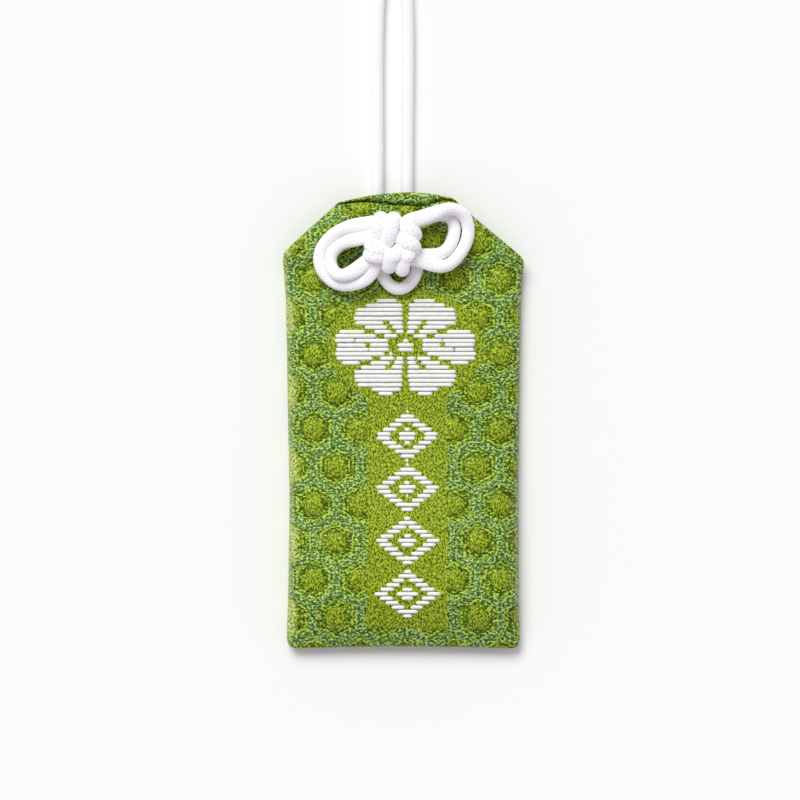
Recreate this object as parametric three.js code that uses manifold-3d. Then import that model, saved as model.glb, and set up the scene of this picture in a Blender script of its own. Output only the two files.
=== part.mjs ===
// An amulet pouch that lies on its back: a folded and sewn brocade pouch with a stiffener board and a
// prayer slip inside, tied shut by one cord in a double bow knot, with a hanging loop of two strands.
// Millimetres. X runs across the pouch, +Y towards the hanging cord, +Z out of the front panel.
// The origin is the middle of the pouch on the surface that it lies on.
import * as THREE from "three";
import { mergeVertices } from "three/addons/utils/BufferGeometryUtils.js";
import Module from "manifold-3d";

const wasm = await Module();
wasm.setup();

// Pouch
const POUCH_HEIGHT = 80.4; // bottom fold to the top of the back lip
const SHOULDER_WIDTH = 42; // widest, where the shoulders start
const FOOT_WIDTH = 40.8; // at the bottom fold
const LIP_WIDTH = 23.6; // between the turned-in corners at the mouth
const SHOULDER_DROP = 11.2; // top of the back lip down to the shoulders
const LIP_DROP = 2.6; // top of the back lip down to its corners
const LIP_TURN = 78; // degrees of the back lip's arc on each side, up to its flat top
const FRONT_LIP_DROP = 2.9; // top of the back lip down to the front lip, in the middle
const FRONT_LIP_SAG = 0.9; // how far the front lip dips in its middle
const CLOTH = 0.7; // brocade with its backing
const SIDE_SEAM = 1.2; // cloth and turned-in allowance at each side and at the fold
const SEAM_HEIGHT = 1.3; // side seams and fold above the back panel
const BELLY_THICKNESS = 5.2; // of the filled pouch in its middle
const FOLD_THICKNESS = 2.3; // just above the bottom fold
const FOLD_REACH = 8; // from the fold up to the full thickness
const NECK_THICKNESS = 2.8; // above the board, where the pouch holds only the cord
const CROWN = 0.1; // share of the thickness by which the front falls towards its sides
const SIDE_ROUND = 3.2; // from a side seam in to the full height of the front
const FOLD_ROUND = 1.3; // from the fold up to where the front has turned round it
const BACK_ROUND = 2.2; // from a side seam in to where the back lies flat
const FOLD_EDGE = 0.05; // half of the crease at the fold, where both panels meet
const CORNER_BLEND = 4; // how closely the rounding follows the nearer of a side seam and the fold
const NECK_LIFT = 2.6; // the neck rides on the two strands that run under it

// Board and slip
const BOARD_SIDE_ROOM = 2.9; // from the narrower end of the pouch's sides to the board
const BOARD_FOOT = 3.2; // from the fold up to the board
const BOARD_HEAD = 18.7; // top of the back lip down to the board
const BOARD_THICKNESS = 1.2;
const BOARD_CORNER = 2;
const SLIP_MARGIN = 2.5; // of the board all round the slip
const SLIP_THICKNESS = 0.8;
const SLIP_FLAP = 0.3; // step where the folded slip's flap ends
const FIT = 0.3; // clearance between pieces that rest on each other
const INSERT_TRAVEL = 2.5; // how far the board and slip can slide up in the pouch

// Cord and thread
const CORD = 1.85; // braided cord, drawn tight
const STRAND_GAP = 0.66; // between strands that lie side by side
const HOLE = 3.1; // pierced through both panels for the cord
const HOLE_DROP = 8.8; // top of the back lip down to the holes
const HOLE_LEFT_X = -4.6;
const HOLE_RIGHT_X = 1;
const TOP_EDGE_CLEARANCE = 0.8; // from the top edge to where the strands start to swing
const END_KNOT_RUN = 51; // from where the strands start to swing up to their end knot
const END_KNOT_REACH = 16; // the end knot's own length below its middle, with the bends into it
const END_KNOT_X = -1.7;
const SEEN_STRAND = 34; // straight stretch of each hanging strand
const STRAND_LEAN = 0.7; // how far each strand leans inwards over that stretch
const THREAD = 0.4; // sewing thread
const STITCH = 4; // length of one stitch
const STITCH_SWING = 0.5; // across one stitch

const TOP_Y = POUCH_HEIGHT / 2;
const BOTTOM_Y = -POUCH_HEIGHT / 2;
const SHOULDER_Y = TOP_Y - SHOULDER_DROP;
const LIP_Y = TOP_Y - LIP_DROP;
const HOLE_Y = TOP_Y - HOLE_DROP;
const SWING_Y = TOP_Y + TOP_EDGE_CLEARANCE;
const END_KNOT_Y = SWING_Y + END_KNOT_RUN;
const CORD_PITCH = CORD + STRAND_GAP;
const HOLE_BEND = CORD * 0.55; // how tightly the cord turns into a hole
const STRAIGHT_END = CORD * 1.5; // straight cord on both sides of where it swings
const BOARD_WIDTH = Math.min(SHOULDER_WIDTH, FOOT_WIDTH) - BOARD_SIDE_ROOM * 2;
const BOARD_LENGTH = POUCH_HEIGHT - BOARD_HEAD - BOARD_FOOT;
const SLIP_WIDTH = BOARD_WIDTH - SLIP_MARGIN * 2;
const SLIP_LENGTH = BOARD_LENGTH - SLIP_MARGIN * 2;
const BOARD_Y = BOTTOM_Y + BOARD_FOOT + BOARD_LENGTH / 2;
const BOARD_TOP_Y = BOARD_Y + BOARD_LENGTH / 2;
const LIFT_START_Y = BOARD_TOP_Y + INSERT_TRAVEL + FIT;
const LIFT_END_Y = HOLE_Y - HOLE / 2;

const BROCADE = { color: 0x6f9a2c, roughness: 0.85 };
const WHITE_BRAID = { color: 0xf2f0f6, roughness: 0.75 };
const SEWING_THREAD = { color: 0x5d8426, roughness: 0.8 };
const GREY_BOARD = { color: 0xcfc9ba, roughness: 0.9 };
const WHITE_PAPER = { color: 0xf6f3ea, roughness: 0.9 };

// Faces of round forms
const ROUND_STEPS = 3; // over a rounded side of the pouch
const FLAT_STEPS = 6; // across the pouch between its rounded sides
const SLOPE_STEPS = 4; // along the pouch from its fold to its full thickness
const BODY_STEPS = 3; // along the pouch over the board
const LIFT_STEPS = 6; // along the pouch where it lifts to its neck
const LIP_STEPS = 4; // along the arc of the back lip
const FRONT_LIP_STEPS = 8;
const HOLE_SIDES = 12;
const CORNER_STEPS = 4;
const CORD_SIDES = 6;
const THREAD_SIDES = 5;
const SAME_POINT = 1e-4; // points closer than this are one
const OVERCUT = 1; // how far a cut reaches past what it cuts
const SKIM = 0.035; // taken off the back panel where the front above its lip is cut away

const charm = new THREE.Group();

function addPiece(name, geometry, finish) {
  const mesh = new THREE.Mesh(geometry, new THREE.MeshStandardMaterial({ ...finish, metalness: 0 }));
  mesh.name = name;
  charm.add(mesh);
  return mesh;
}

// Solids for cutting and joining
function toSolid(geometry) {
  const bare = geometry.clone();
  bare.deleteAttribute("normal");
  bare.deleteAttribute("uv");
  const merged = mergeVertices(bare, SAME_POINT);
  return new wasm.Manifold(
    new wasm.Mesh({
      numProp: 3,
      vertProperties: new Float32Array(merged.attributes.position.array),
      triVerts: new Uint32Array(merged.index.array),
    }),
  );
}

function toGeometry(solid) {
  const mesh = solid.getMesh();
  const geometry = new THREE.BufferGeometry();
  geometry.setAttribute("position", new THREE.BufferAttribute(mesh.vertProperties, 3));
  geometry.setIndex(new THREE.BufferAttribute(mesh.triVerts, 1));
  geometry.computeVertexNormals();
  return geometry;
}

// A closed body through rings of equal counts of points, capped at both ends
function loft(rings) {
  const count = rings[0].length;
  const points = rings.flat();
  const faces = [];
  for (let r = 0; r + 1 < rings.length; r++) {
    for (let i = 0; i < count; i++) {
      const j = (i + 1) % count;
      const low = r * count;
      const high = low + count;
      faces.push(low + i, low + j, high + j, low + i, high + j, high + i);
    }
  }
  const last = (rings.length - 1) * count;
  for (let i = 1; i + 1 < count; i++) {
    faces.push(0, i + 1, i, last, last + i, last + i + 1);
  }
  const geometry = new THREE.BufferGeometry();
  geometry.setFromPoints(points);
  geometry.setIndex(faces);
  return geometry;
}

// Outline and thickness of the pouch
const smooth = (low, high, value) => THREE.MathUtils.smoothstep(value, low, high);

function halfWidth(y) {
  if (y <= SHOULDER_Y) {
    return THREE.MathUtils.mapLinear(y, BOTTOM_Y, SHOULDER_Y, FOOT_WIDTH, SHOULDER_WIDTH) / 2;
  }
  if (y <= LIP_Y) {
    return THREE.MathUtils.mapLinear(y, SHOULDER_Y, LIP_Y, SHOULDER_WIDTH, LIP_WIDTH) / 2;
  }
  const rise = Math.min((y - LIP_Y) / LIP_DROP, 1);
  return (LIP_WIDTH / 2) * Math.sqrt(1 - rise * rise);
}

const liftZ = (y) => NECK_LIFT * smooth(LIFT_START_Y, LIFT_END_Y, y);
const seamZ = (y) => SEAM_HEIGHT * (1 - smooth(LIFT_END_Y, LIP_Y, y));

function thickness(y) {
  const towardsFold = 1 - Math.min((y - BOTTOM_Y) / FOLD_REACH, 1);
  const filled = THREE.MathUtils.lerp(BELLY_THICKNESS, FOLD_THICKNESS, towardsFold ** 2);
  return THREE.MathUtils.lerp(filled, NECK_THICKNESS, smooth(LIFT_START_Y, LIFT_END_Y, y));
}

// How far a panel has come from the seam around it to its full height, along a quarter of a round
function rounding(side, y, reach) {
  const fold = (y - BOTTOM_Y + FOLD_EDGE) / FOLD_ROUND;
  const nearer = ((side / reach) ** -CORNER_BLEND + fold ** -CORNER_BLEND) ** (-1 / CORNER_BLEND);
  return Math.sqrt(1 - (1 - Math.min(nearer, 1)) ** 2);
}

// Front and back panel over a point: full over the board, and rounded to the side seams and the fold
function frontZ(x, y) {
  const half = halfWidth(y);
  const full = thickness(y) * (1 - CROWN * (x / half) ** 2);
  return liftZ(y) + THREE.MathUtils.lerp(seamZ(y), full, rounding(half - Math.abs(x), y, SIDE_ROUND));
}

function backZ(x, y) {
  return liftZ(y) + seamZ(y) * (1 - rounding(halfWidth(y) - Math.abs(x), y, BACK_ROUND));
}

function spread(low, high, count) {
  return Array.from({ length: count + 1 }, (_, i) => low + ((high - low) * i) / count);
}

// Places across a panel: close together over its rounded sides and even between them
function places(half, reach) {
  const round = spread(0, Math.PI / 2, ROUND_STEPS).map((turn) => half - reach * (1 - Math.cos(turn)));
  const flat = spread(reach - half, half - reach, FLAT_STEPS).slice(1, -1);
  return [...round.map((x) => -x), ...flat, ...round.reverse()];
}

function outerRing(y) {
  const half = halfWidth(y);
  const across = places(half, Math.min(SIDE_ROUND, half / 2));
  const front = across.map((x) => new THREE.Vector3(x, y, frontZ(x, y)));
  const back = across.slice(1, -1).map((x) => new THREE.Vector3(x, y, backZ(x, y)));
  return [...front, ...back.reverse()];
}

// Above its corners the mouth keeps the section that it has between them
function innerRing(y) {
  const sectionY = Math.min(y, LIP_Y);
  const across = places(halfWidth(sectionY) - SIDE_SEAM, SIDE_ROUND - SIDE_SEAM);
  const front = across.map((x) => new THREE.Vector3(x, y, frontZ(x, sectionY) - CLOTH));
  const back = across.map((x) => new THREE.Vector3(x, y, backZ(x, sectionY) + CLOTH));
  return [...front, ...back.reverse()];
}

function makePouch() {
  const foldTurns = spread(0, Math.PI / 2, ROUND_STEPS);
  const foldRows = foldTurns.map((turn) => BOTTOM_Y + FOLD_ROUND * (1 - Math.cos(turn)));
  const slopeRows = spread(BOTTOM_Y + FOLD_ROUND, BOTTOM_Y + FOLD_REACH, SLOPE_STEPS);
  const bodyRows = spread(BOTTOM_Y + FOLD_REACH, LIFT_START_Y, BODY_STEPS);
  const liftRows = spread(LIFT_START_Y, LIFT_END_Y, LIFT_STEPS);
  const lipTurn = THREE.MathUtils.degToRad(LIP_TURN);
  const lipRows = spread(0, lipTurn, LIP_STEPS).map((turn) => LIP_Y + LIP_DROP * Math.sin(turn));
  const asked = [...foldRows, ...slopeRows, ...bodyRows, ...liftRows, SHOULDER_Y, ...lipRows];
  asked.sort((a, b) => a - b);
  const rows = asked.filter((y, i) => i === 0 || y - asked[i - 1] > SAME_POINT);
  const outer = toSolid(loft(rows.map(outerRing)));

  const foot = BOTTOM_Y + SIDE_SEAM;
  const innerRows = [foot, ...rows.filter((y) => y > foot + CLOTH && y <= LIP_Y), TOP_Y + OVERCUT];
  const inner = toSolid(loft(innerRows.map(innerRing)));

  // Everything above the front lip is cut away down to the back panel
  const lip = new THREE.Shape();
  lip.moveTo(-SHOULDER_WIDTH / 2, TOP_Y + OVERCUT);
  lip.lineTo(-SHOULDER_WIDTH / 2, LIP_Y);
  lip.lineTo(-LIP_WIDTH / 2, LIP_Y);
  lip.quadraticCurveTo(0, LIP_Y - FRONT_LIP_SAG * 2, LIP_WIDTH / 2, LIP_Y);
  lip.lineTo(SHOULDER_WIDTH / 2, LIP_Y);
  lip.lineTo(SHOULDER_WIDTH / 2, TOP_Y + OVERCUT);
  const above = new THREE.ExtrudeGeometry(lip, {
    depth: BELLY_THICKNESS,
    bevelEnabled: false,
    curveSegments: FRONT_LIP_STEPS,
  });
  above.translate(0, LIP_DROP - FRONT_LIP_DROP + FRONT_LIP_SAG, NECK_LIFT + CLOTH - SKIM);

  let pouch = outer.subtract(inner).subtract(toSolid(above));
  for (const x of [HOLE_LEFT_X, HOLE_RIGHT_X]) {
    const depth = NECK_LIFT + NECK_THICKNESS + OVERCUT;
    const hole = new THREE.CylinderGeometry(HOLE / 2, HOLE / 2, depth, HOLE_SIDES);
    hole.rotateX(Math.PI / 2);
    hole.translate(x, HOLE_Y, depth / 2);
    pouch = pouch.subtract(toSolid(hole));
  }
  addPiece("brocade_pouch", toGeometry(pouch), BROCADE);
}

// Tubes
function tube(points, thickness, sides) {
  const section = new THREE.Shape();
  for (let i = 0; i < sides; i++) {
    const turn = (2 * Math.PI * i) / sides;
    const x = (Math.cos(turn) * thickness) / 2;
    const y = (Math.sin(turn) * thickness) / 2;
    if (i === 0) {
      section.moveTo(x, y);
    } else {
      section.lineTo(x, y);
    }
  }
  const path = new THREE.CatmullRomCurve3(points, false, "centripetal");
  path.getUtoTmapping = (share) => share; // rings sit on the given points
  return new THREE.ExtrudeGeometry(section, { steps: points.length - 1, extrudePath: path });
}

// Seam threads: one running stitch up each side seam, inside the turned pouch
function makeSeamThread(name, side) {
  const start = BOTTOM_Y + STITCH;
  const end = SHOULDER_Y - STITCH * 2;
  const count = Math.floor((end - start) / STITCH) * 4;
  const points = [];
  for (let i = 0; i <= count; i++) {
    const y = start + (i * STITCH) / 4;
    const inside = halfWidth(y) - SIDE_SEAM;
    const x = side * (inside - FIT - THREAD / 2 - STITCH_SWING / 2);
    const swing = (STITCH_SWING / 2) * Math.sin((Math.PI * i) / 2);
    points.push(new THREE.Vector3(x + swing, y, (backZ(inside, y) + frontZ(inside, y)) / 2));
  }
  addPiece(name, tube(points, THREAD, THREAD_SIDES), SEWING_THREAD);
}

// Board and slip
function roundedPlate(width, length, thickness, corner) {
  const plate = new THREE.Shape();
  const x = width / 2;
  const y = length / 2;
  plate.moveTo(-x + corner, -y);
  plate.lineTo(x - corner, -y);
  plate.absarc(x - corner, -y + corner, corner, -Math.PI / 2, 0);
  plate.lineTo(x, y - corner);
  plate.absarc(x - corner, y - corner, corner, 0, Math.PI / 2);
  plate.lineTo(-x + corner, y);
  plate.absarc(-x + corner, y - corner, corner, Math.PI / 2, Math.PI);
  plate.lineTo(-x, -y + corner);
  plate.absarc(-x + corner, -y + corner, corner, Math.PI, Math.PI * 1.5);
  const settings = { depth: thickness, bevelEnabled: false, curveSegments: CORNER_STEPS };
  return new THREE.ExtrudeGeometry(plate, settings);
}

function makeInsert() {
  const boardZ = CLOTH + FIT;
  const plate = roundedPlate(BOARD_WIDTH, BOARD_LENGTH, BOARD_THICKNESS, BOARD_CORNER);
  const board = addPiece("stiffener_board", plate, GREY_BOARD);
  board.position.set(0, BOARD_Y, boardZ);

  // The slip is folded in three, so its flap ends in a step on the front
  const flapEnd = SLIP_WIDTH / 6;
  const fold = new THREE.Shape();
  fold.moveTo(-SLIP_WIDTH / 2, 0);
  fold.lineTo(SLIP_WIDTH / 2, 0);
  fold.lineTo(SLIP_WIDTH / 2, SLIP_THICKNESS - SLIP_FLAP);
  fold.lineTo(flapEnd, SLIP_THICKNESS - SLIP_FLAP);
  fold.lineTo(flapEnd, SLIP_THICKNESS);
  fold.lineTo(-SLIP_WIDTH / 2, SLIP_THICKNESS);
  const paper = new THREE.ExtrudeGeometry(fold, { depth: SLIP_LENGTH, bevelEnabled: false });
  paper.rotateX(Math.PI / 2);
  const slip = addPiece("prayer_slip", paper, WHITE_PAPER);
  slip.position.set(0, BOARD_Y + SLIP_LENGTH / 2, boardZ + BOARD_THICKNESS + FIT);
}

// The cord as it is laid: across, along, and its height in strands above the front panel.
// It leaves the left hole, makes the small loop below the knot, and goes round the knot twice.
const LAID_HOLE_Y = 31.4; // where the lay has the holes
const KNOT_LAY = [
  // small loop below the knot, then a turn behind it to the bottom edge
  [-4.5, 29.7, 0.1], [-4.2, 27.2, 0], [-3.5, 25.0, 0], [-2.3, 23.2, 0], [-0.8, 22.6, 0], [0.7, 23.2, 0],
  [2.1, 25.0, 0], [2.6, 27.0, 0], [1.5, 28.7, 0], [0.1, 28.1, 0.1], [-0.3, 26.4, 0.4], [-0.1, 24.8, 1.5],
  // up the lower right of the front and under the upper right
  [0.0, 26.2, 2.8], [0.7, 28.0, 3], [1.5, 29.4, 2.6], [2.1, 30.8, 2], [2.3, 32.4, 2], [2.7, 33.7, 1.9],
  // right bow, inner strand
  [3.5, 34.6, 1.6], [4.7, 35.3, 1.1], [6.1, 35.6, 0.7], [7.6, 35.3, 0.5], [8.8, 34.3, 0.4],
  [9.0, 32.9, 0.3], [8.2, 31.1, 0.5], [6.2, 29.4, 0.9], [3.8, 28.4, 1.6], [1.7, 28.2, 2],
  // under the lower right, then leftwards over the lower left and round the left edge
  [0.0, 28.2, 2], [-2.2, 28.7, 2], [-3.6, 29.4, 2.6], [-4.9, 29.8, 3], [-6.4, 30.0, 2.8], [-7.4, 30.2, 1.8],
  // across the back, round the right edge and leftwards over the upper right
  [-6.1, 30.7, 1.1], [-2.4, 31.5, 1], [1.6, 32.2, 1.1], [3.6, 32.4, 1.9], [2.6, 32.5, 2.9], [0.9, 32.8, 3],
  // under the upper left
  [-0.4, 33.4, 2.6], [-1.8, 33.9, 2.1], [-4.1, 34.3, 1.9], [-5.7, 34.3, 1.9],
  // left bow, outer strand
  [-8.3, 33.8, 1.4], [-11.2, 32.7, 0.8], [-13.6, 30.7, 0.4], [-14.8, 28.5, 0.2], [-14.3, 26.2, 0.2],
  [-12.4, 24.3, 0.3], [-9.8, 23.6, 0.7], [-7.3, 24.2, 1.3], [-5.4, 25.3, 1.9],
  // under the lower left, up the upper left, over the top edge and down the back
  [-4.5, 26.6, 2], [-4.0, 28.1, 2], [-3.3, 29.9, 2.1], [-2.3, 31.4, 2.6], [-1.8, 33.0, 3], [-1.7, 35.2, 2.9],
  [-1.7, 36.7, 1.9], [-1.7, 35.3, 0.9], [-1.8, 33.2, 0.5], [-2.1, 30.9, 0], [-2.4, 28.0, 0], [-2.5, 26.2, 0.4],
  [-2.5, 24.8, 1.5],
  // up the lower right of the front and under the upper right
  [-2.4, 26.2, 2.8], [-1.7, 28.0, 3], [-0.8, 29.4, 2.6], [-0.2, 30.8, 2], [0.1, 32.4, 2], [0.6, 33.8, 2.1],
  // right bow, outer strand
  [1.5, 35.0, 2.2], [2.8, 35.8, 2.1], [4.4, 36.2, 1.8], [6.4, 36.6, 1.4], [8.5, 36.8, 0.9], [10.5, 35.8, 0.5],
  [11.3, 33.4, 0.3], [10.8, 30.9, 0.3], [9.3, 28.7, 0.5], [7.3, 27.1, 0.9], [4.7, 26.2, 1.5], [1.8, 26.0, 2],
  // under the lower right, then leftwards over the lower left and round the left edge
  [0.0, 26.1, 2], [-2.4, 26.6, 2], [-3.7, 27.2, 2.6], [-4.9, 27.6, 3], [-6.4, 27.8, 2.8], [-7.5, 28.0, 1.8],
  // across the back, round the right edge and leftwards over the upper right
  [-6.1, 28.5, 1.1], [-2.4, 29.2, 1], [1.6, 29.9, 1.1], [3.6, 30.1, 1.9], [2.6, 30.3, 2.9], [0.9, 30.6, 3],
  // under the upper left
  [-0.4, 31.2, 2.6], [-1.8, 31.8, 2.1], [-4.1, 32.2, 1.9], [-5.7, 32.2, 1.8],
  // left bow, inner strand
  [-7.5, 31.7, 1.5], [-9.4, 31.1, 1.1], [-11.3, 30.0, 0.8], [-12.6, 28.6, 0.6], [-12.3, 27.1, 0.7],
  [-10.8, 26.0, 1.1], [-8.8, 26.0, 1.6], [-7.4, 26.7, 1.9],
  // under the lower left, up the upper left, over the top edge and behind to the right hole
  [-6.6, 27.9, 2], [-5.8, 29.8, 2.1], [-4.7, 31.3, 2.6], [-4.2, 33.0, 3], [-4.1, 35.3, 2.9], [-4.0, 36.8, 1.9],
  [-3.6, 35.5, 0.7], [-2.0, 34.2, -0.1], [-0.3, 32.9, 0], [0.6, 32.0, 0.2],
];

// The end knot of the hanging strands: one overhand knot laid with both strands side by side
const OVERHAND_LAY = [
  [0, -9, 0], [-1.5, -5, 0], [-3.6, -0.5, 0.2], [-3.4, 4, 0.4], [0, 6.8, 0], [3.8, 5, 0.8], [4.6, 0.5, 1.6],
  [2.2, -3.6, 2.6], [-2, -4.6, 2.6], [-6, -2.8, 1], [-6.6, 0.8, -1], [-4, 2.8, -1.8], [-0.4, 3.4, -0.6],
  [1.2, 5.6, 2], [1, 9, 1.6], [0.4, 13, 0.6],
];

// Settles laid strands as a tightened cord does: each point is drawn into line with its neighbours,
// kept near where it was laid, and pushed clear of the other strands and of the panel under it
const LAY_STEP = 0.6;
const SETTLE_ROUNDS = 260;
const CORD_PULL = 0.35; // how hard a bend is drawn straight in one round
const PUSH = 0.3; // share of an overlap that each strand gives way in one round
const KNOT_HOLD = 0.03; // share of the way back to its laid place that the knot's cord goes in one round
const END_KNOT_HOLD = 0.012; // the same for the end knot
const BEND_PITCHES = 1.7; // a strand doesn't push against its own next stretch of this many pitches

function layOut(points) {
  const curve = new THREE.CatmullRomCurve3(points, false, "centripetal");
  return curve.getSpacedPoints(Math.round(curve.getLength() / LAY_STEP));
}

function settle(strands, apart, hold, lowest) {
  const beads = strands.flatMap((points, strand) =>
    points.map((at, index) => {
      const end = index === 0 || index === points.length - 1;
      return { at, home: at.clone(), along: new THREE.Vector3(), strand, fixed: end ? 1 : hold(at) };
    }),
  );
  const near = Math.ceil((apart * BEND_PITCHES) / LAY_STEP);
  const step = new THREE.Vector3();
  const aside = (bead, share) => {
    if (bead.fixed < 1) {
      bead.at.addScaledVector(step, share).addScaledVector(bead.along, -share * step.dot(bead.along));
    }
  };
  for (let round = 0; round < SETTLE_ROUNDS; round++) {
    const before = beads.map((bead) => bead.at.clone());
    beads.forEach((bead, i) => {
      if (bead.fixed < 1) {
        bead.along.subVectors(before[i + 1], before[i - 1]).normalize();
        step.addVectors(before[i - 1], before[i + 1]).multiplyScalar(0.5).sub(before[i]);
        bead.at.addScaledVector(step, CORD_PULL * (1 - round / SETTLE_ROUNDS)).lerp(bead.home, bead.fixed);
      }
    });
    for (let i = 0; i < beads.length; i++) {
      for (let j = i + 1; j < beads.length; j++) {
        if (beads[i].strand === beads[j].strand && j - i <= near) {
          continue;
        }
        step.subVectors(beads[j].at, beads[i].at);
        const gap = step.length();
        if (gap < apart) {
          step.multiplyScalar((apart - gap) / gap);
          aside(beads[i], -PUSH);
          aside(beads[j], PUSH);
        }
      }
      if (beads[i].fixed < 1) {
        beads[i].at.z = Math.max(beads[i].at.z, lowest);
      }
    }
  }
}

// Keeps the points that the bends need, closer together where the cord turns
const MOST_TURN = 0.2;
const LONGEST_STEP = 2.4;

function thin(points) {
  const kept = [points[0]];
  let turned = 0;
  let run = 0;
  for (let i = 1; i + 1 < points.length; i++) {
    const arriving = points[i].clone().sub(points[i - 1]);
    const leaving = points[i + 1].clone().sub(points[i]);
    turned += arriving.angleTo(leaving);
    run += arriving.length();
    if (turned >= MOST_TURN || run >= LONGEST_STEP) {
      kept.push(points[i]);
      turned = 0;
      run = 0;
    }
  }
  kept.push(points.at(-1));
  return kept;
}

// Least gap between strands of drawn tubes, measured on points along their straight steps
const GAP_STEP = 0.3;
const BEND_THICKNESSES = 2.2; // stretches of one strand closer than this along it belong to one bend

function leastGap(strands, thickness) {
  const marks = [];
  strands.forEach((rings, strand) => {
    let run = 0;
    for (let i = 0; i + 1 < rings.length; i++) {
      const length = rings[i].distanceTo(rings[i + 1]);
      const count = Math.ceil(length / GAP_STEP);
      for (let k = 0; k < count; k++) {
        const at = rings[i].clone().lerp(rings[i + 1], k / count);
        marks.push({ at, strand, run: run + (length * k) / count });
      }
      run += length;
    }
  });
  let least = Infinity;
  marks.forEach((one, i) => {
    for (const two of marks.slice(i + 1)) {
      if (one.strand !== two.strand || two.run - one.run > thickness * BEND_THICKNESSES) {
        least = Math.min(least, one.at.distanceTo(two.at) - thickness);
      }
    }
  });
  return least;
}

function makeTiedCord() {
  const seat = frontZ(0, HOLE_Y) + CORD / 2 + FIT;
  const backSeat = NECK_LIFT - CORD / 2 - FIT;
  const toHole = (x) => [
    new THREE.Vector3(x, SWING_Y - FIT / 2, backSeat),
    new THREE.Vector3(x, SWING_Y - STRAIGHT_END, backSeat),
    new THREE.Vector3(x, HOLE_Y + HOLE_BEND, backSeat),
    new THREE.Vector3(x, HOLE_Y + HOLE_BEND / 4, backSeat + HOLE_BEND / 2),
    new THREE.Vector3(x, HOLE_Y, NECK_LIFT + CLOTH),
    new THREE.Vector3(x, HOLE_Y, seat - HOLE_BEND),
  ];
  const shift = HOLE_Y - LAID_HOLE_Y;
  const lay = KNOT_LAY.map(([x, y, level]) => new THREE.Vector3(x, y + shift, seat + level * CORD_PITCH));
  const cord = layOut([...toHole(HOLE_LEFT_X), ...lay, ...toHole(HOLE_RIGHT_X).reverse()]);
  const held = (at) => (at.z < seat - FIT * 2 ? 1 : KNOT_HOLD);
  settle([cord], CORD_PITCH, held, seat);
  const rings = thin(cord);
  console.log("tied cord: least gap to itself", leastGap([rings], CORD).toFixed(2), "mm");
  addPiece("tied_cord", tube(rings, CORD, CORD_SIDES), WHITE_BRAID);
}

function makeHangingStrands() {
  const rest = NECK_LIFT - CORD / 2 - FIT;
  const sides = [
    { name: "hanging_strand_left", from: HOLE_LEFT_X, side: -1 },
    { name: "hanging_strand_right", from: HOLE_RIGHT_X, side: 1 },
  ];
  const overhand = layOut(OVERHAND_LAY.map(([x, y, z]) => new THREE.Vector3(x, y, z)));
  const strands = sides.map(({ from, side }) => {
    const laid = overhand.map((at, i) => {
      const ahead = overhand[Math.min(i + 1, overhand.length - 1)].clone().sub(overhand[Math.max(i - 1, 0)]);
      const aside = new THREE.Vector3(ahead.y, -ahead.x, 0).normalize();
      return at.clone().addScaledVector(aside, (side * CORD_PITCH) / 2);
    });
    const knot = laid.map((at) => at.add(new THREE.Vector3(END_KNOT_X, END_KNOT_Y, rest + CORD)));
    const straight = [
      new THREE.Vector3(from, SWING_Y + FIT / 2, rest),
      new THREE.Vector3(from, SWING_Y + STRAIGHT_END, rest),
      new THREE.Vector3(from - side * STRAND_LEAN, SWING_Y + SEEN_STRAND, rest),
    ];
    return layOut([...straight, ...knot.filter((_, i) => i % 3 === 0)]);
  });
  const held = (at) => (at.y < END_KNOT_Y - END_KNOT_REACH ? 1 : END_KNOT_HOLD);
  settle(strands, CORD_PITCH, held, rest);
  const rings = strands.map(thin);
  console.log("hanging strands: least gap", leastGap(rings, CORD).toFixed(2), "mm");
  sides.forEach(({ name }, i) => addPiece(name, tube(rings[i], CORD, CORD_SIDES), WHITE_BRAID));
}

makePouch();
makeSeamThread("left_seam_thread", -1);
makeSeamThread("right_seam_thread", 1);
makeInsert();
makeTiedCord();
makeHangingStrands();

export default charm;
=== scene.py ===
import math

import bmesh
import bpy
import numpy as np
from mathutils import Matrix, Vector
from mathutils.bvhtree import BVHTree


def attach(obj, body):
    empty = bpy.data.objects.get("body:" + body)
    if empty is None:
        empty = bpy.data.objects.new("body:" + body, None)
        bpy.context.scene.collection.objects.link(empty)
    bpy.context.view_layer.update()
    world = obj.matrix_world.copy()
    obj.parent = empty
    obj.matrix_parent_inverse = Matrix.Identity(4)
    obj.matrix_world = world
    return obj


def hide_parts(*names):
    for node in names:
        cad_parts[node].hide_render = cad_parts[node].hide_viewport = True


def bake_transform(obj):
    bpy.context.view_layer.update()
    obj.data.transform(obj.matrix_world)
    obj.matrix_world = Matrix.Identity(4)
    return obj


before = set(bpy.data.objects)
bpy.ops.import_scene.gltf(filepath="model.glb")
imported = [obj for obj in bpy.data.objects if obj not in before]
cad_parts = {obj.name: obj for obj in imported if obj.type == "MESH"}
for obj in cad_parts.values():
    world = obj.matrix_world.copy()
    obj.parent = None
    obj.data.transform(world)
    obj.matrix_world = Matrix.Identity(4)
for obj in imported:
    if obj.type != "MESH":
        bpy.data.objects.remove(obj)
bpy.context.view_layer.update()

# Lengths are in millimetres and turn into metres where a mesh is made
MM = 0.001
TINY = 1e-9

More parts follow.
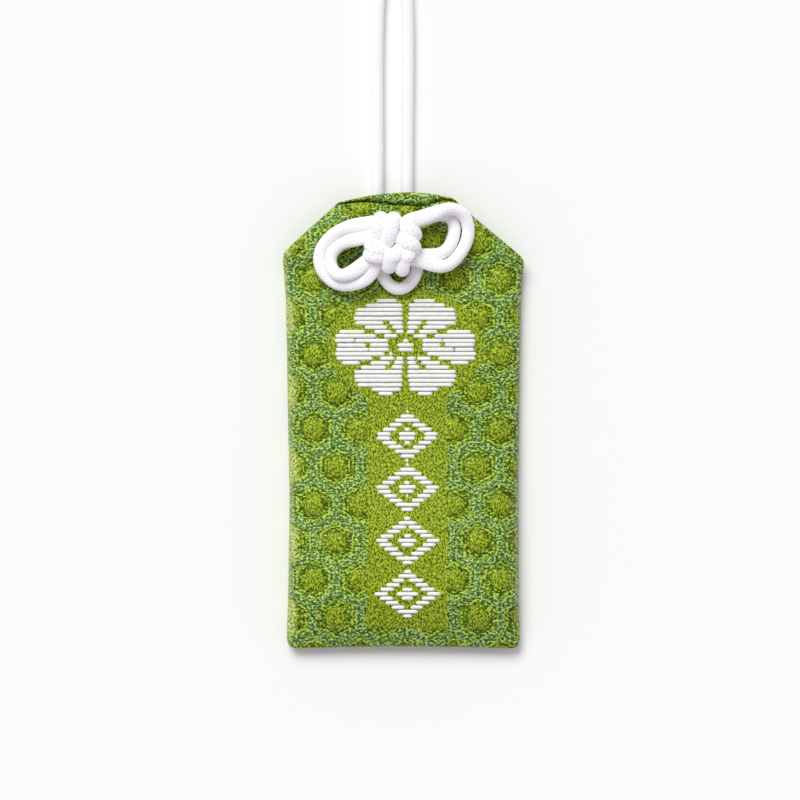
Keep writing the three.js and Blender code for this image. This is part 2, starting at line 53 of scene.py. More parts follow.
# Pouch
BOTTOM_Y = -40.2
LEFT_SHOULDER = (-21.7, 29.1)
RIGHT_SHOULDER = (21.7, 28.05)
LEFT_LIP = (-11.9, 38.0)
RIGHT_NECK = (12.5, 35.8)
RIGHT_LIP = (9.3, 38.7)
SEAM_Z = 1.3
BELLY_Z = 5.2
NECK_LIFT = 2.6
NECK_THICKNESS = 2.8
LIP_THICKNESS = 2.6
LIP_CURL = 1.7
LIP_CURL_START = -0.25
LIP_CURL_RUN = 0.7
LIFT_START_Y = 24.3
LIFT_END_Y = 29.85
NECK_LEAD = 2
LIP_BLEND_Y = (33.5, 38.5)
CROWN = 0.1
CORNER_BLEND = 4.0
SMALLEST_GAP = 1e-3
SIDE_ROUND = 3.2
FOLD_ROUND = 1.3
FOLD_REACH = 9.0
FOLD_CURVE = 1.6
FOLD_THICKNESS = 2.7
FOLD_SEAM_Z = 2.5
FOLD_SEAM_REACH = 6.0
BACK_FOLD_ROUND = 3.4
FOLD_HOLLOW = 0.45
CORNER_LIFT = 0.5
CORNER_START = 0.93
FOLD_DROP = 0.8
FILL_SAG = 1.3
FILL_SAG_Y = (0.0, -24.0)
BACK_ROUND = 2.2
CLOTH = 0.55
HEM = 6.0
HEM_TURN = 0.3
# Cord
CORD = 2.2
CORD_PITCH = 2.27
LAY_PITCH = 2.51
KNOT_SEAT = 6.55
REST_Z = 1.2
HOLE_Y = 31.4
HOLE_LEFT_X = -4.6
HOLE_RIGHT_X = 1.0
STRAND_LEFT_X = -4.6
STRAND_RIGHT_X = 0.6
HOLE_RADIUS = 1.25
RIM_REACH = 2 * HOLE_RADIUS
HOLE_BEND = 0.55 * CORD
HOLE_LEAD = 1.0
HOLE_TOP_Z = KNOT_SEAT - 0.6 * CORD
IN_HOLE_Z = KNOT_SEAT - 0.3 * CORD
SWING_Y = 41.0
HIDDEN_END_Y = 36.4
HIDDEN_OVERLAP = 0.1
STRAIGHT_END = 1.5 * CORD
END_KNOT_X = -1.7
END_KNOT_Y = 92.0
END_KNOT_REACH = 16
END_KNOT_THINNING = 3
SEEN_STRAND = 34.0
LEFT_LEAN = 0.35
RIGHT_LEAN = 0.05
# Woven pattern
HEX_PITCH = 8.23
HEX_ROW = 6.6
HEX_SQUASH = HEX_PITCH * math.sqrt(3) / 2 / HEX_ROW
HEX_U = 12.37
HEX_V = -21.64
MIRROR_U = 0.63
BACK_CLOSER = 0.978
FLOAT_PITCH = 0.78
# Camera
VIEW_WIDTH = 140.6
VIEW_X = -0.6
VIEW_Y = 3.3
VIEW_HEIGHT = 1200.0
SENSOR = 36.0
NEAREST_SEEN = 10.0
FARTHEST_SEEN = 20000.0
# Light and floor
WORLD_TINT = (1.0, 0.92, 1.02, 1)
WORLD_STRENGTH = 0.52
KEY_TOWARDS = (0.3, -0.72, -1.0)
KEY_TINT = (0.931, 1.0, 0.914)
KEY_STRENGTH = 2.255
KEY_SPREAD = 35
FLOOR_HALF = 900
FLOOR_WHITE = (0.92, 0.92, 0.92, 1)
FLOOR_ROUGHNESS = 0.9
FLOOR_GLOSS = 0.1


def smooth(low, high, value):
    share = np.clip((np.asarray(value, float) - low) / (high - low), 0, 1)
    return share * share * (3 - 2 * share)


def mesh_object(name, points, faces):
    mesh = bpy.data.meshes.new(name)
    mesh.from_pydata((np.asarray(points, float) * MM).tolist(), [], faces)
    mesh.polygons.foreach_set("use_smooth", [True] * len(mesh.polygons))
    mesh.update()
    made = bpy.data.objects.new(name, mesh)
    bpy.context.scene.collection.objects.link(made)
    return made


def read_points(mesh):
    flat = np.zeros(len(mesh.vertices) * 3)
    mesh.vertices.foreach_get("co", flat)
    return flat.reshape(-1, 3) / MM


def write_points(mesh, points):
    mesh.vertices.foreach_set("co", (points * MM).ravel())
    mesh.update()


def add_marks(mesh, name, values):
    """One number for each vertex, which a material reads."""
    made = mesh.attributes.new(name, "FLOAT", "POINT")
    made.data.foreach_set("value", values.astype(np.float32))


# Camera, floor and light
def make_camera():
    lens = bpy.data.cameras.new("camera")
    lens.sensor_width = SENSOR
    lens.lens = SENSOR * (VIEW_HEIGHT - BELLY_Z) / VIEW_WIDTH
    lens.clip_start = NEAREST_SEEN * MM
    lens.clip_end = FARTHEST_SEEN * MM
    camera = bpy.data.objects.new("camera", lens)
    camera.location = (VIEW_X * MM, VIEW_Y * MM, VIEW_HEIGHT * MM)
    bpy.context.scene.collection.objects.link(camera)
    bpy.context.scene.camera = camera


def soft_light(name, towards, tint, strength, spread):
    light = bpy.data.lights.new(name, "SUN")
    light.color = tint
    light.energy = strength
    light.angle = math.radians(spread)
    lamp = bpy.data.objects.new(name, light)
    lamp.rotation_euler = Vector(towards).to_track_quat("-Z", "Y").to_euler()
    bpy.context.scene.collection.objects.link(lamp)


def make_stage():
    scene = bpy.context.scene
    scene.view_settings.view_transform = "Standard"
    world = bpy.data.worlds.new("studio")
    world.use_nodes = True
    sky = world.node_tree.nodes["Background"].inputs
    sky["Color"].default_value = WORLD_TINT
    sky["Strength"].default_value = WORLD_STRENGTH
    scene.world = world
    soft_light("key", KEY_TOWARDS, KEY_TINT, KEY_STRENGTH, KEY_SPREAD)
    corners = [(-1, -1, 0), (1, -1, 0), (1, 1, 0), (-1, 1, 0)]
    floor = mesh_object("floor", np.array(corners) * FLOOR_HALF, [(0, 1, 2, 3)])
    paper = bpy.data.materials.new("pale_floor")
    paper.use_nodes = True
    finish = paper.node_tree.nodes["Principled BSDF"].inputs
    finish["Base Color"].default_value = FLOOR_WHITE
    finish["Roughness"].default_value = FLOOR_ROUGHNESS
    finish["Specular IOR Level"].default_value = FLOOR_GLOSS
    floor.data.materials.append(paper)


make_camera()
make_stage()


# Material nodes
class Graph:
    """One material's node tree, with short ways to add its nodes."""

    def __init__(self, name):
        self.material = bpy.data.materials.new(name)
        self.material.use_nodes = True
        self.tree = self.material.node_tree
        self.shader = self.tree.nodes["Principled BSDF"]

    def put(self, socket, value):
        if isinstance(value, bpy.types.NodeSocket):
            self.tree.links.new(value, socket)
        else:
            socket.default_value = value

    def add(self, kind, inputs, output=0, **settings):
        made = self.tree.nodes.new(kind)
        for key, value in settings.items():
            setattr(made, key, value)
        for key, value in inputs.items():
            self.put(made.inputs[key], value)
        return made.outputs[output]

    def math(self, operation, first, second=0.0, third=0.0):
        return self.add("ShaderNodeMath", {0: first, 1: second, 2: third}, operation=operation)

    def mix(self, share, first, second):
        inputs = {0: share, 6: first, 7: second}
        return self.add("ShaderNodeMix", inputs, 2, data_type="RGBA")

    def step(self, value, low, high):
        return self.add("ShaderNodeMapRange", {0: value, 1: low, 2: high}, interpolation_type="SMOOTHSTEP")

    def pair(self, first, second, third=0.0):
        return self.add("ShaderNodeCombineXYZ", {0: first, 1: second, 2: third})

    def weigh(self, first, share, second, other_share):
        """One share of the first value and another of the second."""
        return self.math("MULTIPLY_ADD", first, share, self.math("MULTIPLY", second, other_share))

    def attribute(self, name):
        return self.add("ShaderNodeAttribute", {}, 2, attribute_name=name)

    def noise(self, vector, scale, detail=2.0):
        return self.add("ShaderNodeTexNoise", {"Vector": vector, "Scale": scale, "Detail": detail})

    def layer(self, u, v, depth, scale):
        """Noise over the flat strip, with a depth of its own so that no two layers are alike."""
        return self.noise(self.pair(u, v, depth), scale, 1.0)

    def finish(self, **values):
        """Plain values of the shader's own sockets."""
        for name, value in values.items():
            self.shader.inputs[name.replace("_", " ")].default_value = value

    def bump(self, height, strength, distance):
        inputs = {"Height": height, "Strength": strength, "Distance": distance}
        self.put(self.shader.inputs["Normal"], self.add("ShaderNodeBump", inputs))


def srgb(red, green, blue):
    """Linear colour of an 8-bit screen colour."""
    shares = [channel / 255 for channel in (red, green, blue)]
    linear = [c / 12.92 if c <= 0.04045 else ((c + 0.055) / 1.055) ** 2.4 for c in shares]
    return (*linear, 1)


# The cord as it is laid: across, along, and its height in strands above the front panel.
# It leaves the left hole, makes the small loop below the knot, and goes round the knot twice.
KNOT_LAY = [
    # small loop below the knot, then a turn behind it to the bottom edge
    (-4.5, 29.7, 0.1), (-4.2, 27.2, 0), (-3.5, 25.0, 0), (-2.3, 23.2, 0), (-0.8, 22.6, 0), (0.7, 23.2, 0),
    (2.1, 25.0, 0), (2.6, 27.0, 0), (1.5, 28.7, 0), (0.1, 28.1, 0.1), (-0.3, 26.4, 0.4), (-0.1, 24.8, 1.5),
    # up the lower right of the front and under the upper right
    (0.0, 26.2, 2.8), (0.7, 28.0, 3), (1.5, 29.4, 2.6), (2.1, 30.8, 2), (2.3, 32.4, 2), (2.7, 33.7, 1.9),
    # right bow, inner strand
    (3.5, 34.7, 1.4), (4.7, 35.5, 0.7), (6.1, 35.9, 0.3), (7.6, 35.8, 0.1), (8.9, 34.8, 0.1),
    (9.0, 32.7, 0.2), (8.2, 30.3, 0.4), (6.4, 28.3, 0.9), (3.8, 27.3, 1.6), (1.7, 27.4, 2),
    # under the lower right, then leftwards over the lower left and round the left edge
    (0.0, 28.2, 2), (-2.2, 28.7, 2), (-3.6, 29.4, 2.6), (-4.9, 29.8, 3), (-6.4, 30.0, 2.8), (-7.4, 30.2, 1.8),
    # across the back, round the right edge and leftwards over the upper right
    (-6.1, 30.7, 1.1), (-2.4, 31.5, 1), (1.6, 32.2, 1.1), (3.6, 32.4, 1.9), (2.6, 32.5, 2.9), (0.9, 32.8, 3),
    # under the upper left
    (-0.4, 33.4, 2.6), (-1.8, 33.9, 2.1), (-4.1, 34.3, 1.9), (-5.7, 34.3, 1.9),
    # left bow, outer strand
    (-8.3, 33.8, 1.4), (-11.2, 32.7, 0.8), (-13.6, 30.7, 0.4), (-14.8, 28.5, 0.2), (-14.3, 26.2, 0.2),
    (-12.4, 24.0, 0.3), (-9.8, 23.2, 0.7), (-7.3, 23.8, 1.3), (-5.4, 25.1, 1.9),
    # under the lower left, up the upper left, over the top edge and down the back
    (-4.5, 26.6, 2), (-4.0, 28.1, 2), (-3.3, 29.9, 2.1), (-2.3, 31.4, 2.6), (-1.8, 33.0, 3),
    (-1.7, 35.2, 2.9), (-1.7, 36.7, 1.9), (-1.7, 35.3, 0.9), (-1.8, 33.2, 0.5), (-2.1, 30.9, 0),
    (-2.4, 28.0, 0), (-2.5, 26.2, 0.4), (-2.5, 24.8, 1.5),
    # up the lower right of the front and under the upper right
    (-2.4, 26.2, 2.8), (-1.7, 28.0, 3), (-0.8, 29.4, 2.6), (-0.2, 30.8, 2), (0.1, 32.4, 2), (0.6, 33.8, 2.1),
    # right bow, outer strand
    (1.5, 35.0, 2.2), (2.8, 35.8, 2.1), (4.4, 36.2, 1.8), (6.4, 36.7, 1.5), (8.5, 36.9, 1.1),
    (10.6, 35.9, 0.6), (11.5, 33.4, 0.3), (11.0, 30.7, 0.3), (9.4, 28.3, 0.5), (7.3, 26.7, 0.9),
    (4.7, 25.8, 1.5), (1.8, 25.8, 2),
    # under the lower right, then leftwards over the lower left and round the left edge
    (0.0, 26.1, 2), (-2.4, 26.6, 2), (-3.7, 27.2, 2.6), (-4.9, 27.6, 3), (-6.4, 27.8, 2.8), (-7.5, 28.0, 1.8),
    # across the back, round the right edge and leftwards over the upper right
    (-6.1, 28.5, 1.1), (-2.4, 29.2, 1), (1.6, 29.9, 1.1), (3.6, 30.1, 1.9), (2.6, 30.3, 2.9), (0.9, 30.6, 3),
    # under the upper left
    (-0.4, 31.2, 2.6), (-1.8, 31.8, 2.1), (-4.1, 32.2, 1.9), (-5.7, 32.2, 1.8),
    # left bow, inner strand
    (-7.5, 32.4, 1.5), (-9.4, 32.0, 1.1), (-11.4, 30.9, 0.8), (-13.0, 28.9, 0.6), (-12.8, 26.5, 0.7),
    (-11.2, 24.9, 1.2), (-9.0, 24.4, 1.7), (-7.4, 25.6, 1.9),
    # under the lower left, up the upper left, over the top edge and behind to the right hole
    (-6.6, 27.9, 2), (-5.8, 29.8, 2.1), (-4.7, 31.3, 2.6), (-4.2, 33.0, 3), (-4.1, 35.3, 2.9),
    (-4.0, 36.8, 1.9), (-3.6, 35.5, 0.7), (-2.0, 34.2, -0.1), (-0.3, 32.9, 0), (0.6, 32.0, 0.2),
]
# The end knot of the hanging strands: one overhand knot laid with both strands side by side
OVERHAND_LAY = [
    (0, -9, 0), (-1.5, -5, 0), (-3.6, -0.5, 0.2), (-3.4, 4, 0.4), (0, 6.8, 0), (3.8, 5, 0.8), (4.6, 0.5, 1.6),
    (2.2, -3.6, 2.6), (-2, -4.6, 2.6), (-6, -2.8, 1), (-6.6, 0.8, -1), (-4, 2.8, -1.8), (-0.4, 3.4, -0.6),
    (1.2, 5.6, 2), (1, 9, 1.6), (0.4, 13, 0.6),
]

# Laying and settling the cord
LAY_STEP = 0.6
SETTLE_ROUNDS = 260
CORD_PULL = 0.35
PUSH = 0.14
CURVE_STEPS = 16
NEAR_TURNS = 1.7
KNOT_HOLD = 0.03
END_KNOT_HOLD = 0.012


def lay_out(points, step):
    """Points at an even step along a smooth curve through the given ones."""
    given = np.asarray(points, float)
    given = np.vstack([2 * given[0] - given[1], given, 2 * given[-1] - given[-2]])
    knots = np.sqrt(np.linalg.norm(np.diff(given, axis=0), axis=1))
    share = np.linspace(0, 1, CURVE_STEPS, endpoint=False)[:, None]
    curve = []
    for i in range(1, len(given) - 2):
        before, start, end, after = given[i - 1 : i + 3]
        a, b, c = knots[i - 1 : i + 2]
        leave = ((start - before) / a - (end - before) / (a + b) + (end - start) / b) * b
        arrive = ((end - start) / b - (after - start) / (b + c) + (after - end) / c) * b
        square = 3 * (end - start) - 2 * leave - arrive
        cube = 2 * (start - end) + leave + arrive
        curve.append(start + share * (leave + share * (square + share * cube)))
    curve = np.vstack([*curve, given[-2]])
    run = np.concatenate([[0], np.cumsum(np.linalg.norm(np.diff(curve, axis=0), axis=1))])
    even = np.linspace(0, run[-1], int(round(run[-1] / step)) + 1)
    return np.stack([np.interp(even, run, curve[:, k]) for k in range(3)], axis=1)


def settle(strands, apart, hold, lowest):
    """Draws laid strands into line near where they were laid and pushes them clear of each other."""
    at = np.vstack(strands)
    home = at.copy()
    owner = np.concatenate([[i] * len(s) for i, s in enumerate(strands)])
    index = np.arange(len(at))
    ends = np.concatenate([[i == 0 or i == len(s) - 1 for i in range(len(s))] for s in strands])
    held = np.where(ends, 1.0, hold(at))[:, None]
    free = held < 1
    near = math.ceil(apart * NEAR_TURNS / LAY_STEP)
    other = (owner[:, None] != owner[None]) | (np.abs(index[:, None] - index[None]) > near)
    for turn in range(SETTLE_ROUNDS):
        after = np.roll(at, -1, axis=0)
        before = np.roll(at, 1, axis=0)
        along = after - before
        along /= np.linalg.norm(along, axis=1, keepdims=True) + TINY
        fade = CORD_PULL * (1 - turn / SETTLE_ROUNDS)
        at = np.where(free, at + fade * ((before + after) / 2 - at), at)
        at += (home - at) * held
        between = at[:, None] - at[None]
        gap = np.sqrt((between**2).sum(axis=2)) + TINY
        lacking = np.where(other, np.clip(apart - gap, 0, None), 0) / gap
        push = (between * lacking[:, :, None]).sum(axis=1) * PUSH
        push -= along * (push * along).sum(axis=1, keepdims=True)
        at = np.where(free, at + push, at)
        at[:, 2] = np.where(free[:, 0], np.maximum(at[:, 2], lowest), at[:, 2])
    return np.split(at, np.cumsum([len(s) for s in strands])[:-1])


# Braided cord
BRAID_SIDES = 34
BRAID_STEP = 0.145
BRAID_PLAITS = 6
BRAID_LENGTH = 0.64
BRAID_DEPTH = 0.03
TIP_ROUND = 0.9
TIP_LAST = 0.96


def braid(name, beads, round_end, pressed=None):
    """A closed tube of braided cord along the beads, with a round tip where its end is cut."""
    path = lay_out(beads, BRAID_STEP)
    ahead = np.gradient(path, axis=0)
    ahead /= np.linalg.norm(ahead, axis=1, keepdims=True)
    side = np.zeros_like(path)
    lead = np.cross(ahead[0], (0.0, 0.0, 1.0))
    for i, forward in enumerate(ahead):
        lead = lead - forward * lead.dot(forward)
        lead /= np.linalg.norm(lead)
        side[i] = lead
    up = np.cross(ahead, side)
    count = len(path)
    run = np.arange(count) * BRAID_STEP
    turn = np.linspace(0, 2 * math.pi, BRAID_SIDES, endpoint=False)
    around = BRAID_PLAITS / 2 * turn[None]
    wave = math.pi * run[:, None] / BRAID_LENGTH
    plait = np.hypot(np.cos(around + wave), np.cos(around - wave)) / math.sqrt(2)
    radius = CORD / 2 + BRAID_DEPTH * (2 * plait - 1)
    tip = np.ones(count)
    if round_end:
        tip = np.minimum(tip, np.sqrt(1 - np.clip(1 - run[::-1] / TIP_ROUND, 0, TIP_LAST) ** 2))
    radius = radius * tip[:, None]
    offset = side[:, None] * (radius * np.cos(turn))[:, :, None]
    offset += up[:, None] * (radius * np.sin(turn))[:, :, None]
    if pressed is not None:
        flat = FLATTENED * pressed(path)[:, None, None]
        offset *= 1 + flat * np.array((SPREAD, SPREAD, -1.0))
    rings = path[:, None] + offset
    first = np.arange(count - 1)[:, None] * BRAID_SIDES
    here = np.arange(BRAID_SIDES)[None]
    there = (here + 1) % BRAID_SIDES
    corners = [first + here, first + there, first + BRAID_SIDES + there, first + BRAID_SIDES + here]
    faces = np.stack(corners, axis=2).reshape(-1, 4).tolist()
    last = (count - 1) * BRAID_SIDES
    faces.append(list(range(BRAID_SIDES))[::-1])
    faces.append([last + i for i in range(BRAID_SIDES)])
    made = mesh_object(name, rings.reshape(-1, 3), faces)
    marks = {"run": run[:, None], "plait_cos": np.cos(around), "plait_sin": np.sin(around)}
    for mark, values in marks.items():
        add_marks(made.data, mark, np.broadcast_to(values, plait.shape).ravel())
    return made, path


# The knot is drawn tight: what stands out around its block is pulled in, and its strands are pressed flat
KNOT_X = -1.9
KNOT_Y = 31.25
CORE_X = (6.0, 9.5)
CORE_Y = (6.0, 9.0)
CORE_Z = (KNOT_SEAT + 0.2 * CORD, KNOT_SEAT + CORD)
DRAWN_X = [(0, 0), (2.4, 2.4), (6.6, 4.1), (10.5, 10.5), (30, 30)]
DRAWN_UP = [(0, 0), (2.8, 2.8), (6.3, 4.15), (8.8, 8.8), (30, 30)]
DRAWN_DOWN = [(0, 0), (2.4, 2.4), (6.3, 3.2), (8.8, 8.0), (30, 30)]
DRAWN_Z = 0.74
FLATTENED = 0.4
SPREAD = 0.45
EVEN_ROUNDS = 4
EVEN_SHARE = 0.5


def knot_core(at):
    """How far each point belongs to the block of the knot, from 0 to 1."""
    x = np.abs(at[:, 0] - KNOT_X)
    y = np.abs(at[:, 1] - KNOT_Y)
    return (1 - smooth(*CORE_X, x)) * (1 - smooth(*CORE_Y, y)) * smooth(*CORE_Z, at[:, 2])


def draw_tight(at):
    """Pulls the block of the knot together and evens out its bends."""
    core = knot_core(at)
    x = at[:, 0] - KNOT_X
    y = at[:, 1] - KNOT_Y
    pulled = np.stack(
        [
            KNOT_X + np.sign(x) * np.interp(np.abs(x), *zip(*DRAWN_X)),
            KNOT_Y + np.where(y > 0, np.interp(y, *zip(*DRAWN_UP)), -np.interp(-y, *zip(*DRAWN_DOWN))),
            KNOT_SEAT + (at[:, 2] - KNOT_SEAT) * DRAWN_Z,
        ],
        axis=1,
    )
    drawn = at + (pulled - at) * core[:, None]
    for _ in range(EVEN_ROUNDS):
        drawn[1:-1] += EVEN_SHARE * ((drawn[:-2] + drawn[2:]) / 2 - drawn[1:-1])
    return drawn


CORD_WHITE = srgb(255, 255, 255)
CORD_SHADE = srgb(252, 251, 253)
CORD_FIBRE = srgb(247, 245, 249)
# Painted shade in the braid's pits
CORD_PIT_SHADE = srgb(214, 208, 222)
CORD_FIBRE_SCALE = 5200.0
CORD_SHADE_SCALE = 260.0
SHADE_EDGE = (0.35, 0.65)
FIBRE_EDGE = (0.3, 0.6)
PIT_SHADE_EDGE = (0.15, 0.6)
CORD_BUMP = (0.25, 0.00004)


def cord_material():
    graph = Graph("braided_cord")
    place = graph.add("ShaderNodeTexCoord", {}, 3)
    fibre = graph.noise(place, CORD_FIBRE_SCALE, 3.0)
    shade = graph.noise(place, CORD_SHADE_SCALE, 1.0)
    tint = graph.mix(graph.step(shade, *SHADE_EDGE), CORD_SHADE, CORD_WHITE)
    tint = graph.mix(graph.step(fibre, *FIBRE_EDGE), CORD_FIBRE, tint)

    # Painted shade in the pits where the plaits cross
    wave = graph.math("MULTIPLY", graph.attribute("run"), math.pi / BRAID_LENGTH)
    even = graph.math("MULTIPLY", graph.attribute("plait_cos"), graph.math("COSINE", wave))
    odd = graph.math("MULTIPLY", graph.attribute("plait_sin"), graph.math("SINE", wave))
    one = graph.math("ABSOLUTE", graph.math("SUBTRACT", even, odd))
    two = graph.math("ABSOLUTE", graph.math("ADD", even, odd))
    raised = graph.step(graph.math("MAXIMUM", one, two), *PIT_SHADE_EDGE)
    graph.put(graph.shader.inputs["Base Color"], graph.mix(raised, CORD_PIT_SHADE, tint))
    graph.finish(Roughness=0.7, Specular_IOR_Level=0.25, Sheen_Weight=0.6, Sheen_Roughness=0.6)
    graph.bump(fibre, *CORD_BUMP)
    return graph.material


def through_hole(x, strand_x):
    """From the strand behind the pouch up through both panels."""
    return [
        (strand_x, HIDDEN_END_Y, REST_Z),
        ((x + strand_x) / 2, HOLE_Y + HOLE_BEND + HOLE_LEAD, REST_Z),
        (x, HOLE_Y + HOLE_BEND / 4, REST_Z + HOLE_BEND / 2),
        (x, HOLE_Y, NECK_LIFT + CLOTH),
        (x, HOLE_Y, HOLE_TOP_Z),
    ]


def held_in_holes(at):
    return np.where(at[:, 2] < IN_HOLE_Z, 1.0, KNOT_HOLD)


def held_below_end_knot(at):
    return np.where(at[:, 1] < END_KNOT_Y - END_KNOT_REACH, 1.0, END_KNOT_HOLD)


def make_cords(finish):
    knot = [(x, y, KNOT_SEAT + level * LAY_PITCH) for x, y, level in KNOT_LAY]
    left = through_hole(HOLE_LEFT_X, STRAND_LEFT_X)
    right = through_hole(HOLE_RIGHT_X, STRAND_RIGHT_X)
    laid = lay_out(left + knot + right[::-1], LAY_STEP)
    (tied,) = settle([laid], CORD_PITCH, held_in_holes, KNOT_SEAT)
    bow, _ = braid("tied_bow_cord", draw_tight(tied), False, knot_core)
    bow.data.materials.append(finish)
    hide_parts("tied_cord")
    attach(bow, "pouch")

    overhand = lay_out(OVERHAND_LAY, LAY_STEP)
    ahead = np.gradient(overhand, axis=0)
    aside = np.stack([ahead[:, 1], -ahead[:, 0], np.zeros(len(ahead))], axis=1)
    aside /= np.linalg.norm(aside, axis=1, keepdims=True)
    strands = []
    for x, side, lean in ((STRAND_LEFT_X, -1, LEFT_LEAN), (STRAND_RIGHT_X, 1, RIGHT_LEAN)):
        end_knot = overhand + aside * side * LAY_PITCH / 2 + (END_KNOT_X, END_KNOT_Y, REST_Z + CORD)
        straight = [
            (x, HIDDEN_END_Y + HIDDEN_OVERLAP, REST_Z),
            (x, SWING_Y + STRAIGHT_END, REST_Z),
            (x - side * lean, SWING_Y + SEEN_STRAND, REST_Z),
        ]
        laid = lay_out(straight + end_knot[::END_KNOT_THINNING].tolist(), LAY_STEP)
        laid[:, 2] = np.maximum(laid[:, 2], REST_Z)
        strands.append(laid)
    settled = settle(strands, CORD_PITCH, held_below_end_knot, REST_Z)
    for name, beads in zip(("left", "right"), settled):
        strand, path = braid("hanging_cord_" + name, beads, True)
        strand.data.materials.append(finish)
        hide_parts("hanging_strand_" + name)
        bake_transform(strand)


make_cords(cord_material())

# Outline of the pouch: height along it, and how far each side reaches there
LEFT_EDGE = [
    (BOTTOM_Y, -20.2), (-38.8, -21.0), (-31, -20.7), (-14, -20.45), (4, -20.8), (21, -21.1),
    LEFT_SHOULDER[::-1],
]
RIGHT_EDGE = [
    (BOTTOM_Y, 20.2), (-38.8, 20.95), (-31, 20.7), (-14, 20.6), (4, 20.8), (21, 21.1),
    RIGHT_SHOULDER[::-1],
]
# Lips: place across, and height along the pouch
FRONT_LIP = [
    (-11.9, 37.7), (-9, 37.9), (-6.5, 38.1), (-2.3, 37.6), (2.0, 37.2), (4.6, 37.6), (6.8, 38.4),
    (9.3, 38.3),
]
BACK_LIP = [
    LEFT_LIP, (-8.5, 38.8), (-5.2, 39.45), (-1.8, 39.8), (1.5, 39.9), (4.2, 39.7), (6.4, 39.4),
    RIGHT_LIP,
]
COLUMNS = 36
BODY_ROWS = 54
NECK_ROWS = 16
NECK_CROWDING = 1.7
HEM_ROWS = 8


def panel(lip):
    """Points of one panel from the bottom fold to its lip, without their heights."""
    across = np.linspace(0, 1, COLUMNS + 1)
    rows = []
    for share in np.linspace(0, 1, BODY_ROWS + 1):
        left_y = BOTTOM_Y + (LEFT_SHOULDER[1] - BOTTOM_Y) * share
        right_y = BOTTOM_Y + (RIGHT_SHOULDER[1] - BOTTOM_Y) * share
        left = (np.interp(left_y, *zip(*LEFT_EDGE)), left_y)
        right = (np.interp(right_y, *zip(*RIGHT_EDGE)), right_y)
        rows.append((left, right, 0.0))
    turn = math.dist(RIGHT_SHOULDER, RIGHT_NECK)
    places = [0, turn / (turn + math.dist(RIGHT_NECK, RIGHT_LIP)), 1]
    for share in 1 - (1 - np.linspace(0, 1, NECK_ROWS + 1)[1:]) ** NECK_CROWDING:
        left = [np.interp(share, [0, 1], ends) for ends in zip(LEFT_SHOULDER, LEFT_LIP)]
        right = [np.interp(share, places, ends) for ends in zip(RIGHT_SHOULDER, RIGHT_NECK, RIGHT_LIP)]
        rows.append((left, right, share**2))
    top = LEFT_LIP[0] + (RIGHT_LIP[0] - LEFT_LIP[0]) * across
    chord = LEFT_LIP[1] + (RIGHT_LIP[1] - LEFT_LIP[1]) * across
    bow = np.interp(top, *zip(*lip)) - chord
    grid = []
    for left, right, share in rows:
        line = np.array(left) + (np.array(right) - left) * across[:, None]
        line[:, 1] += bow * share
        grid.append(line)
    return np.array(grid)


def edge_distance(grid, side_round, fold_round):
    """Distance of each point from the nearest sewn side or the bottom fold, rounded in the corners."""
    left = grid[:, :1, 0]
    right = grid[:, -1:, 0]
    side = np.minimum(grid[:, :, 0] - left, right - grid[:, :, 0]) + SMALLEST_GAP
    fold = np.maximum(grid[:, :, 1] - BOTTOM_Y, 0) * side_round / fold_round + SMALLEST_GAP
    return (side**-CORNER_BLEND + fold**-CORNER_BLEND) ** (-1 / CORNER_BLEND)


def rise(distance, reach):
    """A quarter round from 0 at the edge to 1 at its reach."""
    return np.sqrt(1 - (1 - np.clip(distance / reach, 0, 1)) ** 2)


def seam_height(grid):
    """Height of the sewn edge, which the filling lifts at the bottom fold."""
    return SEAM_Z + (FOLD_SEAM_Z - SEAM_Z) * smooth(BOTTOM_Y + FOLD_SEAM_REACH, BOTTOM_Y, grid[:, :, 1])


def back_height(grid):
    y = grid[:, :, 1]
    past_front_lip = y - np.interp(grid[:, :, 0], *zip(*FRONT_LIP)) - LIP_CURL_START
    curl = LIP_CURL * smooth(0, LIP_CURL_RUN, past_front_lip)
    lift = NECK_LIFT * smooth(LIFT_START_Y, LIFT_END_Y, y)
    inward = rise(edge_distance(grid, BACK_ROUND, BACK_FOLD_ROUND), BACK_ROUND)
    return lift + curl + seam_height(grid) * (1 - inward)


def front_height(grid):
    y = grid[:, :, 1]
    fold = 1 - np.clip((y - BOTTOM_Y) / FOLD_REACH, 0, 1)
    belly = BELLY_Z + FILL_SAG * smooth(*FILL_SAG_Y, y)
    filled = belly + (FOLD_THICKNESS - belly) * fold**FOLD_CURVE
    neck = smooth(LIFT_START_Y - NECK_LEAD, LIFT_END_Y, y)
    lip = smooth(*LIP_BLEND_Y, y)
    thickness = filled + (NECK_THICKNESS - filled) * neck + (LIP_THICKNESS - NECK_THICKNESS) * lip
    lift = NECK_LIFT * smooth(LIFT_START_Y, LIFT_END_Y, y)
    middle = np.linspace(-1, 1, grid.shape[1])[None]
    crown = 1 - CROWN * middle**2
    seam = seam_height(grid)
    inward = rise(edge_distance(grid, SIDE_ROUND, FOLD_ROUND), SIDE_ROUND)
    return lift + seam + (thickness * crown - seam) * inward


def fold_hollow(grid):
    """How far the bottom fold is drawn up between its corners, which hang lower."""
    middle = np.linspace(-1, 1, grid.shape[1])[None]
    corner = CORNER_LIFT * smooth(CORNER_START, 1.0, np.abs(middle))
    shape = FOLD_HOLLOW * (1 - middle**2) + corner - FOLD_DROP
    return shape * (1 - smooth(BOTTOM_Y, BOTTOM_Y + FOLD_REACH, grid[:, :, 1]))


